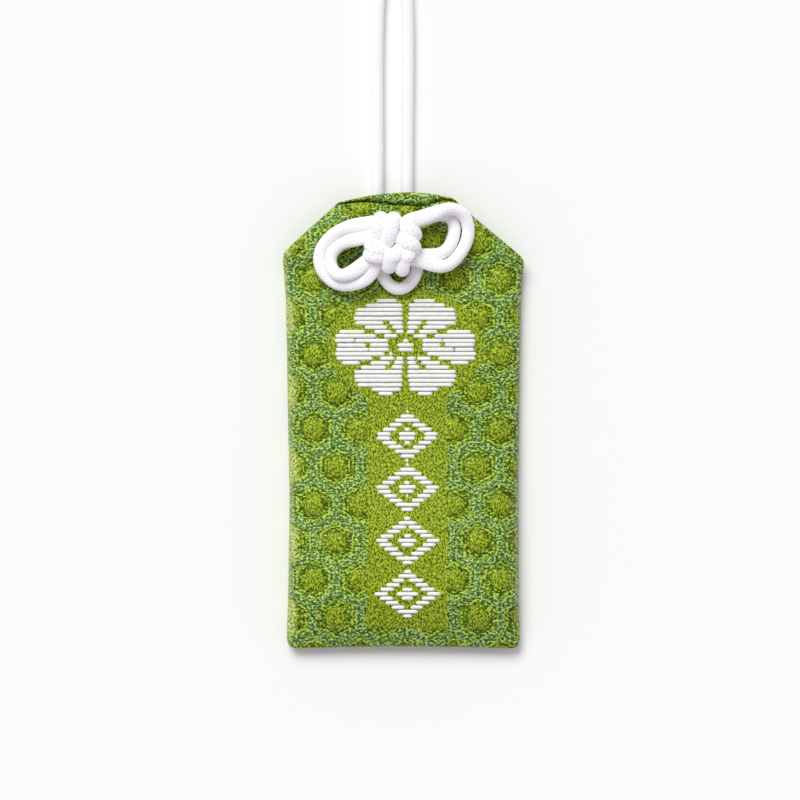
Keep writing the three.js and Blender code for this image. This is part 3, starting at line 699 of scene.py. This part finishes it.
def make_pouch():
    front = panel(FRONT_LIP)
    back = panel(BACK_LIP)
    rows, columns = front.shape[:2]
    points = []

    def add(x, y, z):
        points.append((x, y, z))
        return len(points) - 1

    # One strip of cloth: the front, the fold, the back, and a hem turned in at each lip
    front_z = front_height(front)
    back_z = back_height(back)
    hollow_front = fold_hollow(front)
    hollow_back = fold_hollow(back)
    front_ids = np.zeros((rows, columns), int)
    back_ids = np.zeros((rows, columns), int)
    for j in range(rows):
        for i in range(columns):
            x, y = front[j, i]
            front_ids[j, i] = add(x, y + hollow_front[j, i], front_z[j, i])
    for j in range(rows):
        for i in range(columns):
            sewn = j == 0 or i == 0 or i == columns - 1
            if sewn:
                back_ids[j, i] = front_ids[j, i]
            else:
                x, y = back[j, i]
                back_ids[j, i] = add(x, y + hollow_back[j, i], back_z[j, i])
    faces = []
    marks = []

    def fill(one, two, weave_one, weave_two, turned):
        """Faces between two rows, with their places on the flat strip."""
        for i in range(columns - 1):
            corner = [one[i], one[i + 1], two[i + 1], two[i]]
            weave = [weave_one[i], weave_one[i + 1], weave_two[i + 1], weave_two[i]]
            if turned:
                corner.reverse()
                weave.reverse()
            faces.append([int(k) for k in corner])
            marks.extend(weave)

    back_strip = BOTTOM_Y - BACK_CLOSER * (back[:, :, 1] - BOTTOM_Y)
    back_weave = np.stack([back[:, :, 0], back_strip], axis=2)
    for j in range(rows - 1):
        fill(front_ids[j], front_ids[j + 1], front[j], front[j + 1], False)
        fill(back_ids[j], back_ids[j + 1], back_weave[j], back_weave[j + 1], True)
    for past, lip, height, inward, turned in (
        (front_ids[-1], front[-1], front_height, -CLOTH, False),
        (back_ids[-1], back[-1], back_height, CLOTH, True),
    ):
        weave_past = lip
        for k in range(HEM_ROWS):
            turned_in = lip - (0, HEM_TURN + HEM * (k / HEM_ROWS) ** 2)
            z = height(turned_in[None])[0] + inward
            row = np.array([add(*turned_in[i], z[i]) for i in range(columns)])
            weave = np.stack([lip[:, 0], 2 * lip[:, 1] - turned_in[:, 1]], axis=1)
            fill(past, row, weave_past, weave, turned)
            past = row
            weave_past = weave
    pouch = mesh_object("brocade_cloth", points, faces)
    weave = pouch.data.uv_layers.new(name="weave")
    weave.data.foreach_set("uv", np.array(marks, float).ravel())
    return pouch


pouch = make_pouch()


def height_along(v):
    """Place along the pouch of a place along the strip, which runs down the front and up the back."""
    return np.where(v < BOTTOM_Y, BOTTOM_Y + (BOTTOM_Y - v) / BACK_CLOSER, v)


def side_gap(u, v):
    """Distance across from the nearest side of the pouch."""
    y = height_along(v)
    left = np.interp(y, *zip(*LEFT_EDGE, LEFT_LIP[::-1]))
    right = np.interp(y, *zip(*RIGHT_EDGE, RIGHT_NECK[::-1], RIGHT_LIP[::-1]))
    return np.minimum(u - left, right - u)


# Cloth simulation, in a larger world because cloth settles badly at this size
SIM_SCALE = 20.0
SIM_FRAMES = 24
CLOTH_EASE = 0.006
FILL_PRESSURE = 0.4
LARGEST_SHIFT = 0.45
STIR = 0.03
HELD_SEAM = 1.0
SEAM_EASE = 1.5
HELD_ABOVE_Y = (24.0, 19.0)
FINER = 2


def free_share(at):
    """How freely each point of the cloth moves: the front below the knot, away from its seams."""
    away = np.minimum(side_gap(at[:, 0], at[:, 1]), at[:, 1] - BOTTOM_Y) - HELD_SEAM
    front = at[:, 2] > BELLY_Z / 2
    return front * smooth(0, SEAM_EASE, away) * smooth(*HELD_ABOVE_Y, at[:, 1])


def let_settle(made, seed=3):
    """Lets the eased cloth settle on its filling and moves the piece by what it finds."""
    scene = bpy.context.scene
    start = read_points(made.data)
    free = free_share(start)
    stirred = start + np.random.default_rng(seed).normal(0, STIR, start.shape) * free[:, None]
    trial = bpy.data.objects.new("trial", made.data.copy())
    scene.collection.objects.link(trial)
    write_points(trial.data, stirred * SIM_SCALE)
    held = trial.vertex_groups.new(name="held")
    for index, share in enumerate(free.tolist()):
        held.add([index], 1 - share, "REPLACE")
    cloth = trial.modifiers.new("cloth", "CLOTH")
    cloth.collision_settings.use_collision = False
    cloth.point_cache.frame_end = SIM_FRAMES
    cloth.settings.quality = 6
    cloth.settings.mass = 0.3
    cloth.settings.tension_stiffness = 40
    cloth.settings.compression_stiffness = 40
    cloth.settings.shear_stiffness = 20
    cloth.settings.bending_stiffness = 0.3
    cloth.settings.air_damping = 3
    cloth.settings.vertex_group_mass = "held"
    cloth.settings.shrink_min = -CLOTH_EASE
    cloth.settings.use_pressure = True
    cloth.settings.uniform_pressure_force = FILL_PRESSURE
    cloth.settings.effector_weights.gravity = 0
    for frame_number in range(1, SIM_FRAMES + 1):
        scene.frame_set(frame_number)
    settled = trial.evaluated_get(bpy.context.evaluated_depsgraph_get())
    shift = read_points(settled.data) / SIM_SCALE - start
    scene.frame_set(1)
    bpy.data.objects.remove(trial)
    size = np.linalg.norm(shift, axis=1, keepdims=True) + TINY
    shift *= free[:, None] * LARGEST_SHIFT * np.tanh(size / LARGEST_SHIFT) / size
    write_points(made.data, start + shift)


def refine(made, levels):
    """The object's mesh, subdivided smoothly for good."""
    divide = made.modifiers.new("divide", "SUBSURF")
    divide.levels = levels
    divide.render_levels = levels
    divide.uv_smooth = "NONE"
    bpy.context.view_layer.update()
    whole = bpy.data.meshes.new_from_object(made.evaluated_get(bpy.context.evaluated_depsgraph_get()))
    made.modifiers.clear()
    made.data = whole
    whole.polygons.foreach_set("use_smooth", [True] * len(whole.polygons))


let_settle(pouch)
refine(pouch, FINER)


def off_axis(at, hole_x):
    return Vector((at.x - hole_x * MM, at.y - HOLE_Y * MM, 0))


def pierce(made):
    """Cuts the cord holes out of both panels and rounds their rims."""
    work = bmesh.new()
    work.from_mesh(made.data)
    for hole_x in (HOLE_LEFT_X, HOLE_RIGHT_X):
        inside = [f for f in work.faces if off_axis(f.calc_center_median(), hole_x).length < HOLE_RADIUS * MM]
        bmesh.ops.delete(work, geom=inside, context="FACES")
        for vert in work.verts:
            away = off_axis(vert.co, hole_x)
            if vert.is_boundary and away.length < RIM_REACH * MM:
                vert.co += away * (HOLE_RADIUS * MM / away.length - 1)
    work.to_mesh(made.data)
    work.free()


pierce(pouch)


# Woven pattern: distance from the nearest lattice centre, and from the plain field
COLUMN_X = 0.6
COLUMN_HALF = 7.0
COLUMN_TOP = 6.0
COLUMN_END = -36.6
BLOSSOM_X = 0.35
BLOSSOM_Y = 12.7
BLOSSOM_HALF = 13.2
BLOSSOM_TALL = 9.4
BLOSSOM_MARGIN = (0.6, 0.8)
# Relief: where each form fades out, and its height
PLAIN_FADE = (-0.3, 0.5)
SIDE_FADE = (0.6, 3.0)
FOLD_FADE = (0.4, 3.0)
LIP_FADE = (38.5, 35.5)
DOT_EDGE = (2.3, 0.9)
DOT_HEIGHT = 0.4
LINE_EDGE = (3.3, 3.75)
LINE_HEIGHT = 0.06
VALLEY_INNER = (1.9, 2.4)
VALLEY_OUTER = (3.6, 3.0)
VALLEY_DEPTH = 0.08


def lattice(u, v):
    """Distance from the nearest lattice centre by hexagons and by circles, and the side of it."""
    across = np.abs(u - MIRROR_U)
    best = None
    for shift_u, shift_v in ((0, 0), (HEX_PITCH / 2, HEX_ROW)):
        du = across - HEX_U - shift_u
        dv = v - HEX_V - shift_v
        lean = du - HEX_PITCH * np.round(du / HEX_PITCH)
        du = np.abs(lean)
        dv = np.abs(dv - 2 * HEX_ROW * np.round(dv / (2 * HEX_ROW))) * HEX_SQUASH
        found = (np.maximum(du, du / 2 + dv * math.sqrt(3) / 2), np.hypot(du, dv), lean)
        if best is None:
            best = found
        else:
            best = [np.where(found[0] < best[0], new, old) for new, old in zip(found, best)]
    return best


def plain_field(u, v):
    """Distance outside the plain field around the blossom and the column."""
    column = np.maximum(np.abs(u - COLUMN_X) - COLUMN_HALF, np.maximum(v - COLUMN_TOP, COLUMN_END - v))
    wide = BLOSSOM_HALF + BLOSSOM_MARGIN[0]
    tall = BLOSSOM_TALL + BLOSSOM_MARGIN[1]
    around = np.hypot((u - BLOSSOM_X) / wide, (v - BLOSSOM_Y) / tall)
    return np.minimum(column, (around - 1) * BLOSSOM_TALL)


def vertex_uv(mesh):
    loops = np.zeros(len(mesh.loops), int)
    mesh.loops.foreach_get("vertex_index", loops)
    uv = np.zeros(len(mesh.loops) * 2)
    mesh.uv_layers["weave"].data.foreach_get("uv", uv)
    at = np.zeros((len(mesh.vertices), 2))
    at[loops] = uv.reshape(-1, 2)
    return at


def vertex_normals(mesh):
    flat = np.zeros(len(mesh.vertices) * 3)
    mesh.vertex_normals.foreach_get("vector", flat)
    return flat.reshape(-1, 3)


def emboss(made):
    """Raises the dots and lines of the lattice and marks the mesh for the material."""
    mesh = made.data
    uv = vertex_uv(mesh)
    u, v = uv[:, 0], uv[:, 1]
    ring, disc, lean = lattice(u, v)
    plain = plain_field(u, v)
    woven = smooth(*PLAIN_FADE, plain) * smooth(*SIDE_FADE, side_gap(u, v))
    woven *= smooth(*FOLD_FADE, np.abs(v - BOTTOM_Y)) * smooth(*LIP_FADE, height_along(v))
    dome = DOT_HEIGHT * smooth(*DOT_EDGE, disc)
    line = LINE_HEIGHT * smooth(*LINE_EDGE, ring)
    valley = VALLEY_DEPTH * smooth(*VALLEY_INNER, disc) * smooth(*VALLEY_OUTER, ring)
    height = woven * (dome + line - valley)
    points = read_points(mesh) + vertex_normals(mesh) * height[:, None]
    points[:, 2] = np.maximum(points[:, 2], 0)
    write_points(mesh, points)
    left_gap = u - np.interp(v, *zip(*LEFT_EDGE))
    marks = {"ring": ring, "disc": disc, "plain": plain, "lean": lean, "left_gap": left_gap}
    for name, values in marks.items():
        add_marks(mesh, name, values)


emboss(pouch)


# Brocade: its threads' colours with painted light and shade, and their sizes on the flat strip
TWILL_DARK = srgb(58, 80, 0)
TWILL_LIGHT = srgb(176, 199, 52)
# Painted shade between the outline threads
GAP_SHADE = srgb(38, 62, 0)
GAP_SEA = srgb(70, 108, 34)
OUTLINE_DULL = srgb(110, 139, 10)
OUTLINE_LIGHT = srgb(188, 211, 78)
LINE_DARK = srgb(52, 86, 20)
LINE_LIGHT = srgb(110, 149, 76)
SPECK_PALE = srgb(182, 216, 140)
# Painted light on the left edge, where the key light falls
LEFT_SIDE_LIT = srgb(206, 222, 132)
# Painted shade between the white floats, mixed with their pale undersides
FLOAT_GAP_SHADE = srgb(132, 126, 138)
SILK_GLOSS = srgb(224, 238, 135)
TWILL_WIDTH = 0.27
TWILL_LENGTH = 0.62
TWILL_SLANT = 0.6
TWILL_CONTRAST = (0.36, 0.66)
OUTLINE_PITCH = 0.7
OUTLINE_AT = 2.85
OUTLINE_WANDER = 0.5
OUTLINE_SHARE = 0.27
DULL_FROM = (0.0, 0.5)
LIGHT_FROM = (0.45, 0.85)
BREAKS_ACROSS = 0.8
BREAKS_ALONG = 1.2
BREAKS_SHARE = 3.1
BREAKS_LEVEL = -1.2
SEA_EDGE = (0.48, 0.68)
# Ring of painted shade and bump hollow round each dot
MOAT_INNER = (1.8, 2.1)
MOAT_OUTER = (2.7, 2.3)
MOAT_SHADE_AND_DEPTH = 0.2
LINE_START = (4.3, 4.6)
LINE_STRAY = 1.8
LINE_CONTRAST = (0.05, 0.75)
SPECK_ACROSS = 2.1
SPECK_ALONG = 2.8
SPECK_RING = (2.0, 3.2)
SPECK_NEEDED = 0.7
SPECK_EASE = 0.12
SPECK_ON_LINE = 0.3
SPECK_EDGE = (-0.02, 0.06)
DOT_RIM = (1.75, 2.05)
PLAIN_RIM = (-0.1, 0.1)
RAGGED = 1.2
BESIDE_DOT = (3.6, 2.4)
# Reach and strength of the painted light on the left edge
LEFT_LIT_RIM = (1.5, 0.5)
LEFT_LIT_WIDER = 0.9
LEFT_LIT_STREAK = (0.3, 0.6)
LEFT_LIT_DULL = 0.45
LEFT_LIT_BRIGHTER = 0.4
COVERED_EDGE = (0.3, 0.8)
SPECK_RISE = 0.4
OUTLINE_RISE = 0.8
BROCADE_BUMP = (0.5, 0.00018)
# Noise layers of the brocade: depth and scale
STREAKS = (0.0, 1.0)
WANDER = (3.0, 1.1)
BREAKS = (9.0, 2.7)
STRAY = (13.0, 1.7)
SEA = (21.0, 0.8)
SPECKS = (31.0, 1.0)


def brocade_material():
    graph = Graph("kikko_brocade")
    split = graph.tree.nodes.new("ShaderNodeSeparateXYZ")
    graph.put(split.inputs[0], graph.add("ShaderNodeUVMap", {}, uv_map="weave"))
    u, v = split.outputs[0], split.outputs[1]
    ring = graph.attribute("ring")
    disc = graph.attribute("disc")

    # Slanting twill of the plain field and the dots, leaning apart on both sides of a dot
    lean = graph.math("MULTIPLY", u, graph.math("SIGN", graph.attribute("lean")))
    over = graph.weigh(v, TWILL_SLANT / TWILL_WIDTH, lean, 1 / TWILL_WIDTH)
    along = graph.weigh(v, 1 / TWILL_LENGTH, lean, -TWILL_SLANT / TWILL_LENGTH)
    streak = graph.layer(over, along, *STREAKS)
    twill = graph.mix(graph.step(streak, *TWILL_CONTRAST), TWILL_DARK, TWILL_LIGHT)

    # Broken outlines around each dot
    wander = graph.layer(u, v, *WANDER)
    off_outline = graph.math("SUBTRACT", ring, OUTLINE_AT + OUTLINE_WANDER / 2)
    bent = graph.math("MULTIPLY_ADD", wander, OUTLINE_WANDER, off_outline)
    wave = graph.math("COSINE", graph.math("MULTIPLY", bent, 2 * math.pi / OUTLINE_PITCH))
    breaks_u = graph.math("MULTIPLY", u, BREAKS_ACROSS)
    breaks_v = graph.math("MULTIPLY", v, BREAKS_ALONG)
    breaks = graph.layer(breaks_u, breaks_v, *BREAKS)
    broken = graph.math("MULTIPLY_ADD", breaks, BREAKS_SHARE, BREAKS_LEVEL)
    woven = graph.math("MULTIPLY_ADD", wave, OUTLINE_SHARE, broken)
    # A ring round each dot is darker and lower: painted shade in the hollow beside the dot, and a hollow in
    # the bump
    moat_shade_and_hollow = graph.math("MULTIPLY", graph.step(disc, *MOAT_INNER), graph.step(disc, *MOAT_OUTER))
    woven = graph.math("MULTIPLY_ADD", moat_shade_and_hollow, -MOAT_SHADE_AND_DEPTH, woven)
    sea = graph.layer(u, v, *SEA)
    # Between the outline threads: painted shade, broken by sea-green threads
    gap = graph.mix(graph.step(sea, *SEA_EDGE), GAP_SHADE, GAP_SEA)
    outline = graph.mix(graph.step(woven, *DULL_FROM), gap, OUTLINE_DULL)
    outline = graph.mix(graph.step(woven, *LIGHT_FROM), outline, OUTLINE_LIGHT)

    # Sea-green threads along the lattice lines, and pale specks between the dots
    stray = graph.layer(u, v, *STRAY)
    on_line = graph.step(graph.math("MULTIPLY_ADD", stray, LINE_STRAY, ring), *LINE_START)
    line = graph.mix(graph.step(woven, *LINE_CONTRAST), LINE_DARK, LINE_LIGHT)
    loose = graph.mix(on_line, outline, line)
    speck_u = graph.math("MULTIPLY", u, SPECK_ACROSS)
    speck_v = graph.math("MULTIPLY", v, SPECK_ALONG)
    speck = graph.layer(speck_u, speck_v, *SPECKS)
    share = graph.math("MULTIPLY_ADD", on_line, SPECK_ON_LINE, graph.step(ring, *SPECK_RING))
    needed = graph.math("MULTIPLY_ADD", share, -SPECK_EASE, SPECK_NEEDED)
    pale = graph.step(graph.math("SUBTRACT", speck, needed), *SPECK_EDGE)
    loose = graph.mix(pale, loose, SPECK_PALE)

    # Dots and plain field in twill, the rest loose
    ragged = graph.math("MULTIPLY_ADD", wander, RAGGED, -RAGGED / 2)
    off_dot = graph.step(graph.math("ADD", disc, ragged), *DOT_RIM)
    off_plain = graph.step(graph.math("ADD", graph.attribute("plain"), ragged), *PLAIN_RIM)
    open_weave = graph.math("MULTIPLY", off_dot, off_plain)
    cloth = graph.mix(open_weave, twill, loose)

    # Painted light on the left edge, which faces the key light: brighter beside a dot and duller between two
    beside_dot = graph.step(disc, *BESIDE_DOT)
    left_gap = graph.math("MULTIPLY_ADD", beside_dot, -LEFT_LIT_WIDER, graph.attribute("left_gap"))
    bright_streak = graph.step(streak, *LEFT_LIT_STREAK)
    left_edge_light = graph.math("MULTIPLY", graph.step(left_gap, *LEFT_LIT_RIM), bright_streak)
    brightness = graph.math("MULTIPLY_ADD", beside_dot, LEFT_LIT_BRIGHTER, LEFT_LIT_DULL)
    left_edge_light = graph.math("MULTIPLY", left_edge_light, brightness)
    cloth = graph.mix(left_edge_light, cloth, LEFT_SIDE_LIT)
    # Painted shade between the white floats
    float_gap_shade = graph.step(graph.attribute("under_floats"), *COVERED_EDGE)
    graph.put(graph.shader.inputs["Base Color"], graph.mix(float_gap_shade, cloth, FLOAT_GAP_SHADE))
    graph.finish(Roughness=0.42, Specular_IOR_Level=0.5, Specular_Tint=SILK_GLOSS)
    raised = graph.weigh(pale, SPECK_RISE, woven, OUTLINE_RISE)
    tight = graph.math("MULTIPLY", streak, graph.math("SUBTRACT", 1.0, open_weave))
    graph.bump(graph.math("MULTIPLY_ADD", raised, open_weave, tight), *BROCADE_BUMP)
    return graph.material


pouch.data.materials.clear()
pouch.data.materials.append(brocade_material())
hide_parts("brocade_pouch")
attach(pouch, "pouch")


# White weft floats: a blossom and a column of nested lozenges
LOZENGE_X = 0.7
LOZENGE_TOP = 1.6
LOZENGE_BOTTOM = -35.4
LOZENGES = 4
LOZENGE_HALF = 5.7
LOZENGE_TALL = 4.35
FLOAT_WIDTH = 0.67
FLOAT_RISE = 0.28
LONGEST_FLOAT = 9.0
FLOAT_MARGIN = 0.3
FIRST_FLOAT_Y = BLOSSOM_Y + BLOSSOM_TALL + 1
PETALS = 6
PETAL_EDGE = 0.66
PETAL_LOBE = 0.34
NOTCH = 0.08
NOTCH_SHARPNESS = 14
STAMEN_FROM = 0.985
STAMEN_REACH = (0.26, 0.52)
SPLIT_WIDTH = 0.15
SPLIT_START = 0.15
HEART_RING = (0.12, 0.22)
LOZENGE_RIM = (0.6, 1.04)
LOZENGE_HEART = 0.36
PROBE_HALF = 21
PROBE_STEP = 0.06
SHORTEST_SPAN = 0.5
SHORTEST_FLOAT = 0.4
BREAK_SHIFT = 0.12
BREAK_GAP = 0.05
FLOAT_SIDES = 7
FLOAT_STEP = 0.35
FEWEST_STEPS = 4
ROW_SWAY = 0.04
END_SWAY = 0.12
ABOVE_CLOTH = 50.0
END_ROUND = 2.2
END_RUN = 1.2
END_START = 0.004
NARROW_END = 0.55
END_WIDENS = 0.45
FLOAT_SINK = 0.04


def in_blossom(x, y):
    across = (x - BLOSSOM_X) / BLOSSOM_HALF
    along = (y - BLOSSOM_Y) / BLOSSOM_TALL
    reach = np.hypot(across, along)
    turn = np.arctan2(along, across)
    petal = np.abs(np.cos(PETALS / 2 * turn))
    edge = PETAL_EDGE + PETAL_LOBE * petal**0.5 - NOTCH * petal**NOTCH_SHARPNESS
    stamen = (petal > STAMEN_FROM) & (reach > STAMEN_REACH[0]) & (reach < STAMEN_REACH[1])
    split = (petal < SPLIT_WIDTH) & (reach > SPLIT_START)
    heart = (reach > HEART_RING[0]) & (reach < HEART_RING[1])
    return (reach < edge) & ~stamen & ~split & ~heart


def in_lozenges(x, y):
    pitch = (LOZENGE_TOP - LOZENGE_BOTTOM) / LOZENGES
    place = (LOZENGE_TOP - y) / pitch
    centre = LOZENGE_TOP - (np.floor(place) + 0.5) * pitch
    reach = np.abs(x - LOZENGE_X) / LOZENGE_HALF + np.abs(y - centre) / LOZENGE_TALL
    inside = (y < LOZENGE_TOP) & (y > LOZENGE_BOTTOM)
    rim = (reach > LOZENGE_RIM[0]) & (reach < LOZENGE_RIM[1])
    return inside & (rim | (reach < LOZENGE_HEART))


def shade_under_floats(cloth):
    """Marks the cloth that the white floats cover, where the grey between them is painted shade in their gaps
    mixed with their pale undersides.
    """
    uv = vertex_uv(cloth.data)
    above = FIRST_FLOAT_Y - FLOAT_PITCH * np.floor((FIRST_FLOAT_Y - uv[:, 1]) / FLOAT_PITCH)
    covered = np.ones(len(uv), bool)
    for y in (above, above - FLOAT_PITCH):
        for x in (uv[:, 0] - FLOAT_MARGIN, uv[:, 0] + FLOAT_MARGIN):
            covered &= in_blossom(x, y) | in_lozenges(x, y)
    add_marks(cloth.data, "under_floats", covered)


shade_under_floats(pouch)


def float_spans():
    """Start, end and height along the pouch of each white float, row by row."""
    spans = []
    probe = np.arange(-PROBE_HALF, PROBE_HALF, PROBE_STEP)
    row = 0
    y = FIRST_FLOAT_Y
    while y > COLUMN_END:
        shown = in_blossom(probe, y) | in_lozenges(probe, y)
        edges = np.flatnonzero(np.diff(np.concatenate([[0], shown.astype(int), [0]])))
        for start, end in edges.reshape(-1, 2):
            low, high = probe[start], probe[end - 1]
            if high - low > SHORTEST_SPAN:
                breaks = math.ceil((high - low) / LONGEST_FLOAT)
                shift = BREAK_SHIFT * (row % 3 - 1) if breaks > 1 else 0
                cuts = low + (high - low) * np.clip(np.linspace(0, 1, breaks + 1) + shift, 0, 1)
                cuts[0] = low
                cuts[-1] = high
                pieces = [(a, b) for a, b in zip(cuts, cuts[1:]) if b - a > SHORTEST_FLOAT]
                spans.extend((a + BREAK_GAP, b - BREAK_GAP, y) for a, b in pieces)
        y -= FLOAT_PITCH
        row += 1
    return spans


def make_floats(cloth, seed=7):
    """A low half-round thread for each float, laid on the cloth."""
    bpy.context.view_layer.update()
    tree = BVHTree.FromObject(cloth, bpy.context.evaluated_depsgraph_get())
    chance = np.random.default_rng(seed)
    across = np.linspace(0, math.pi, FLOAT_SIDES)
    points = []
    faces = []
    for low, high, y in float_spans():
        steps = max(FEWEST_STEPS, int((high - low) / FLOAT_STEP))
        y = y + chance.uniform(-ROW_SWAY, ROW_SWAY)
        low = low + chance.uniform(-END_SWAY, END_SWAY)
        high = high + chance.uniform(-END_SWAY, END_SWAY)
        first = len(points)
        for k in range(steps + 1):
            share = k / steps
            x = low + (high - low) * share
            above = Vector((x * MM, y * MM, ABOVE_CLOTH * MM))
            hit = tree.ray_cast(above, Vector((0, 0, -1)))[0]
            from_end = min(share, 1 - share) * (high - low)
            ends = min(1, END_ROUND * math.sqrt(from_end / END_RUN + END_START))
            wide = FLOAT_WIDTH / 2 * (NARROW_END + END_WIDENS * ends)
            for turn in across:
                lift = FLOAT_RISE * ends * math.sin(turn) - FLOAT_SINK
                points.append((x, y + wide * math.cos(turn), hit.z / MM + lift))
        for k in range(steps):
            here = first + k * FLOAT_SIDES
            for i in range(FLOAT_SIDES):
                j = (i + 1) % FLOAT_SIDES
                faces.append([here + i, here + FLOAT_SIDES + i, here + FLOAT_SIDES + j, here + j])
        faces.append([first + i for i in range(FLOAT_SIDES)])
        faces.append([first + steps * FLOAT_SIDES + i for i in range(FLOAT_SIDES)][::-1])
    return mesh_object("white_weft_floats", points, faces)


FLOAT_WHITE = srgb(250, 250, 250)
FLOAT_SHADE = srgb(222, 228, 214)
FLOAT_STRETCH = (900.0, 9000.0, 3000.0)
FLOAT_CONTRAST = (0.3, 0.65)
FLOAT_BUMP = (0.3, 0.00003)


def float_material():
    graph = Graph("white_silk_weft")
    place = graph.add("ShaderNodeTexCoord", {}, 3)
    stretch = graph.add("ShaderNodeMapping", {"Vector": place, "Scale": FLOAT_STRETCH})
    fibre = graph.noise(stretch, 1.0, 2.0)
    tint = graph.mix(graph.step(fibre, *FLOAT_CONTRAST), FLOAT_SHADE, FLOAT_WHITE)
    graph.put(graph.shader.inputs["Base Color"], tint)
    graph.finish(Roughness=0.5, Specular_IOR_Level=0.4)
    graph.bump(fibre, *FLOAT_BUMP)
    return graph.material


floats = make_floats(pouch)
floats.data.materials.append(float_material())
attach(floats, "pouch")


# Board, slip and seam threads keep their solids
GRAIN_DETAIL = 4.0
GRAIN_CONTRAST = (0.35, 0.65)
GRAIN_BUMP = (0.3, 0.00005)


def fibre_material(name, dark, light, scale, stretch, roughness):
    graph = Graph(name)
    place = graph.add("ShaderNodeTexCoord", {}, 3)
    drawn = graph.add("ShaderNodeMapping", {"Vector": place, "Scale": stretch})
    grain = graph.noise(drawn, scale, GRAIN_DETAIL)
    graph.put(graph.shader.inputs["Base Color"], graph.mix(graph.step(grain, *GRAIN_CONTRAST), dark, light))
    graph.finish(Roughness=roughness)
    graph.bump(grain, *GRAIN_BUMP)
    return graph.material


def dress(node, material):
    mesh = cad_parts[node].data
    mesh.materials.clear()
    mesh.materials.append(material)


card = fibre_material("card", srgb(186, 178, 158), srgb(212, 206, 190), 900.0, (1, 0.4, 1), 0.9)
washi = fibre_material("washi", srgb(236, 230, 214), srgb(250, 247, 238), 700.0, (1, 0.25, 1), 0.85)
sewing = fibre_material("sewing_thread", srgb(78, 108, 30), srgb(118, 150, 58), 4000.0, (1, 0.5, 1), 0.7)
dress("stiffener_board", card)
dress("prayer_slip", washi)
dress("left_seam_thread", sewing)
dress("right_seam_thread", sewing)
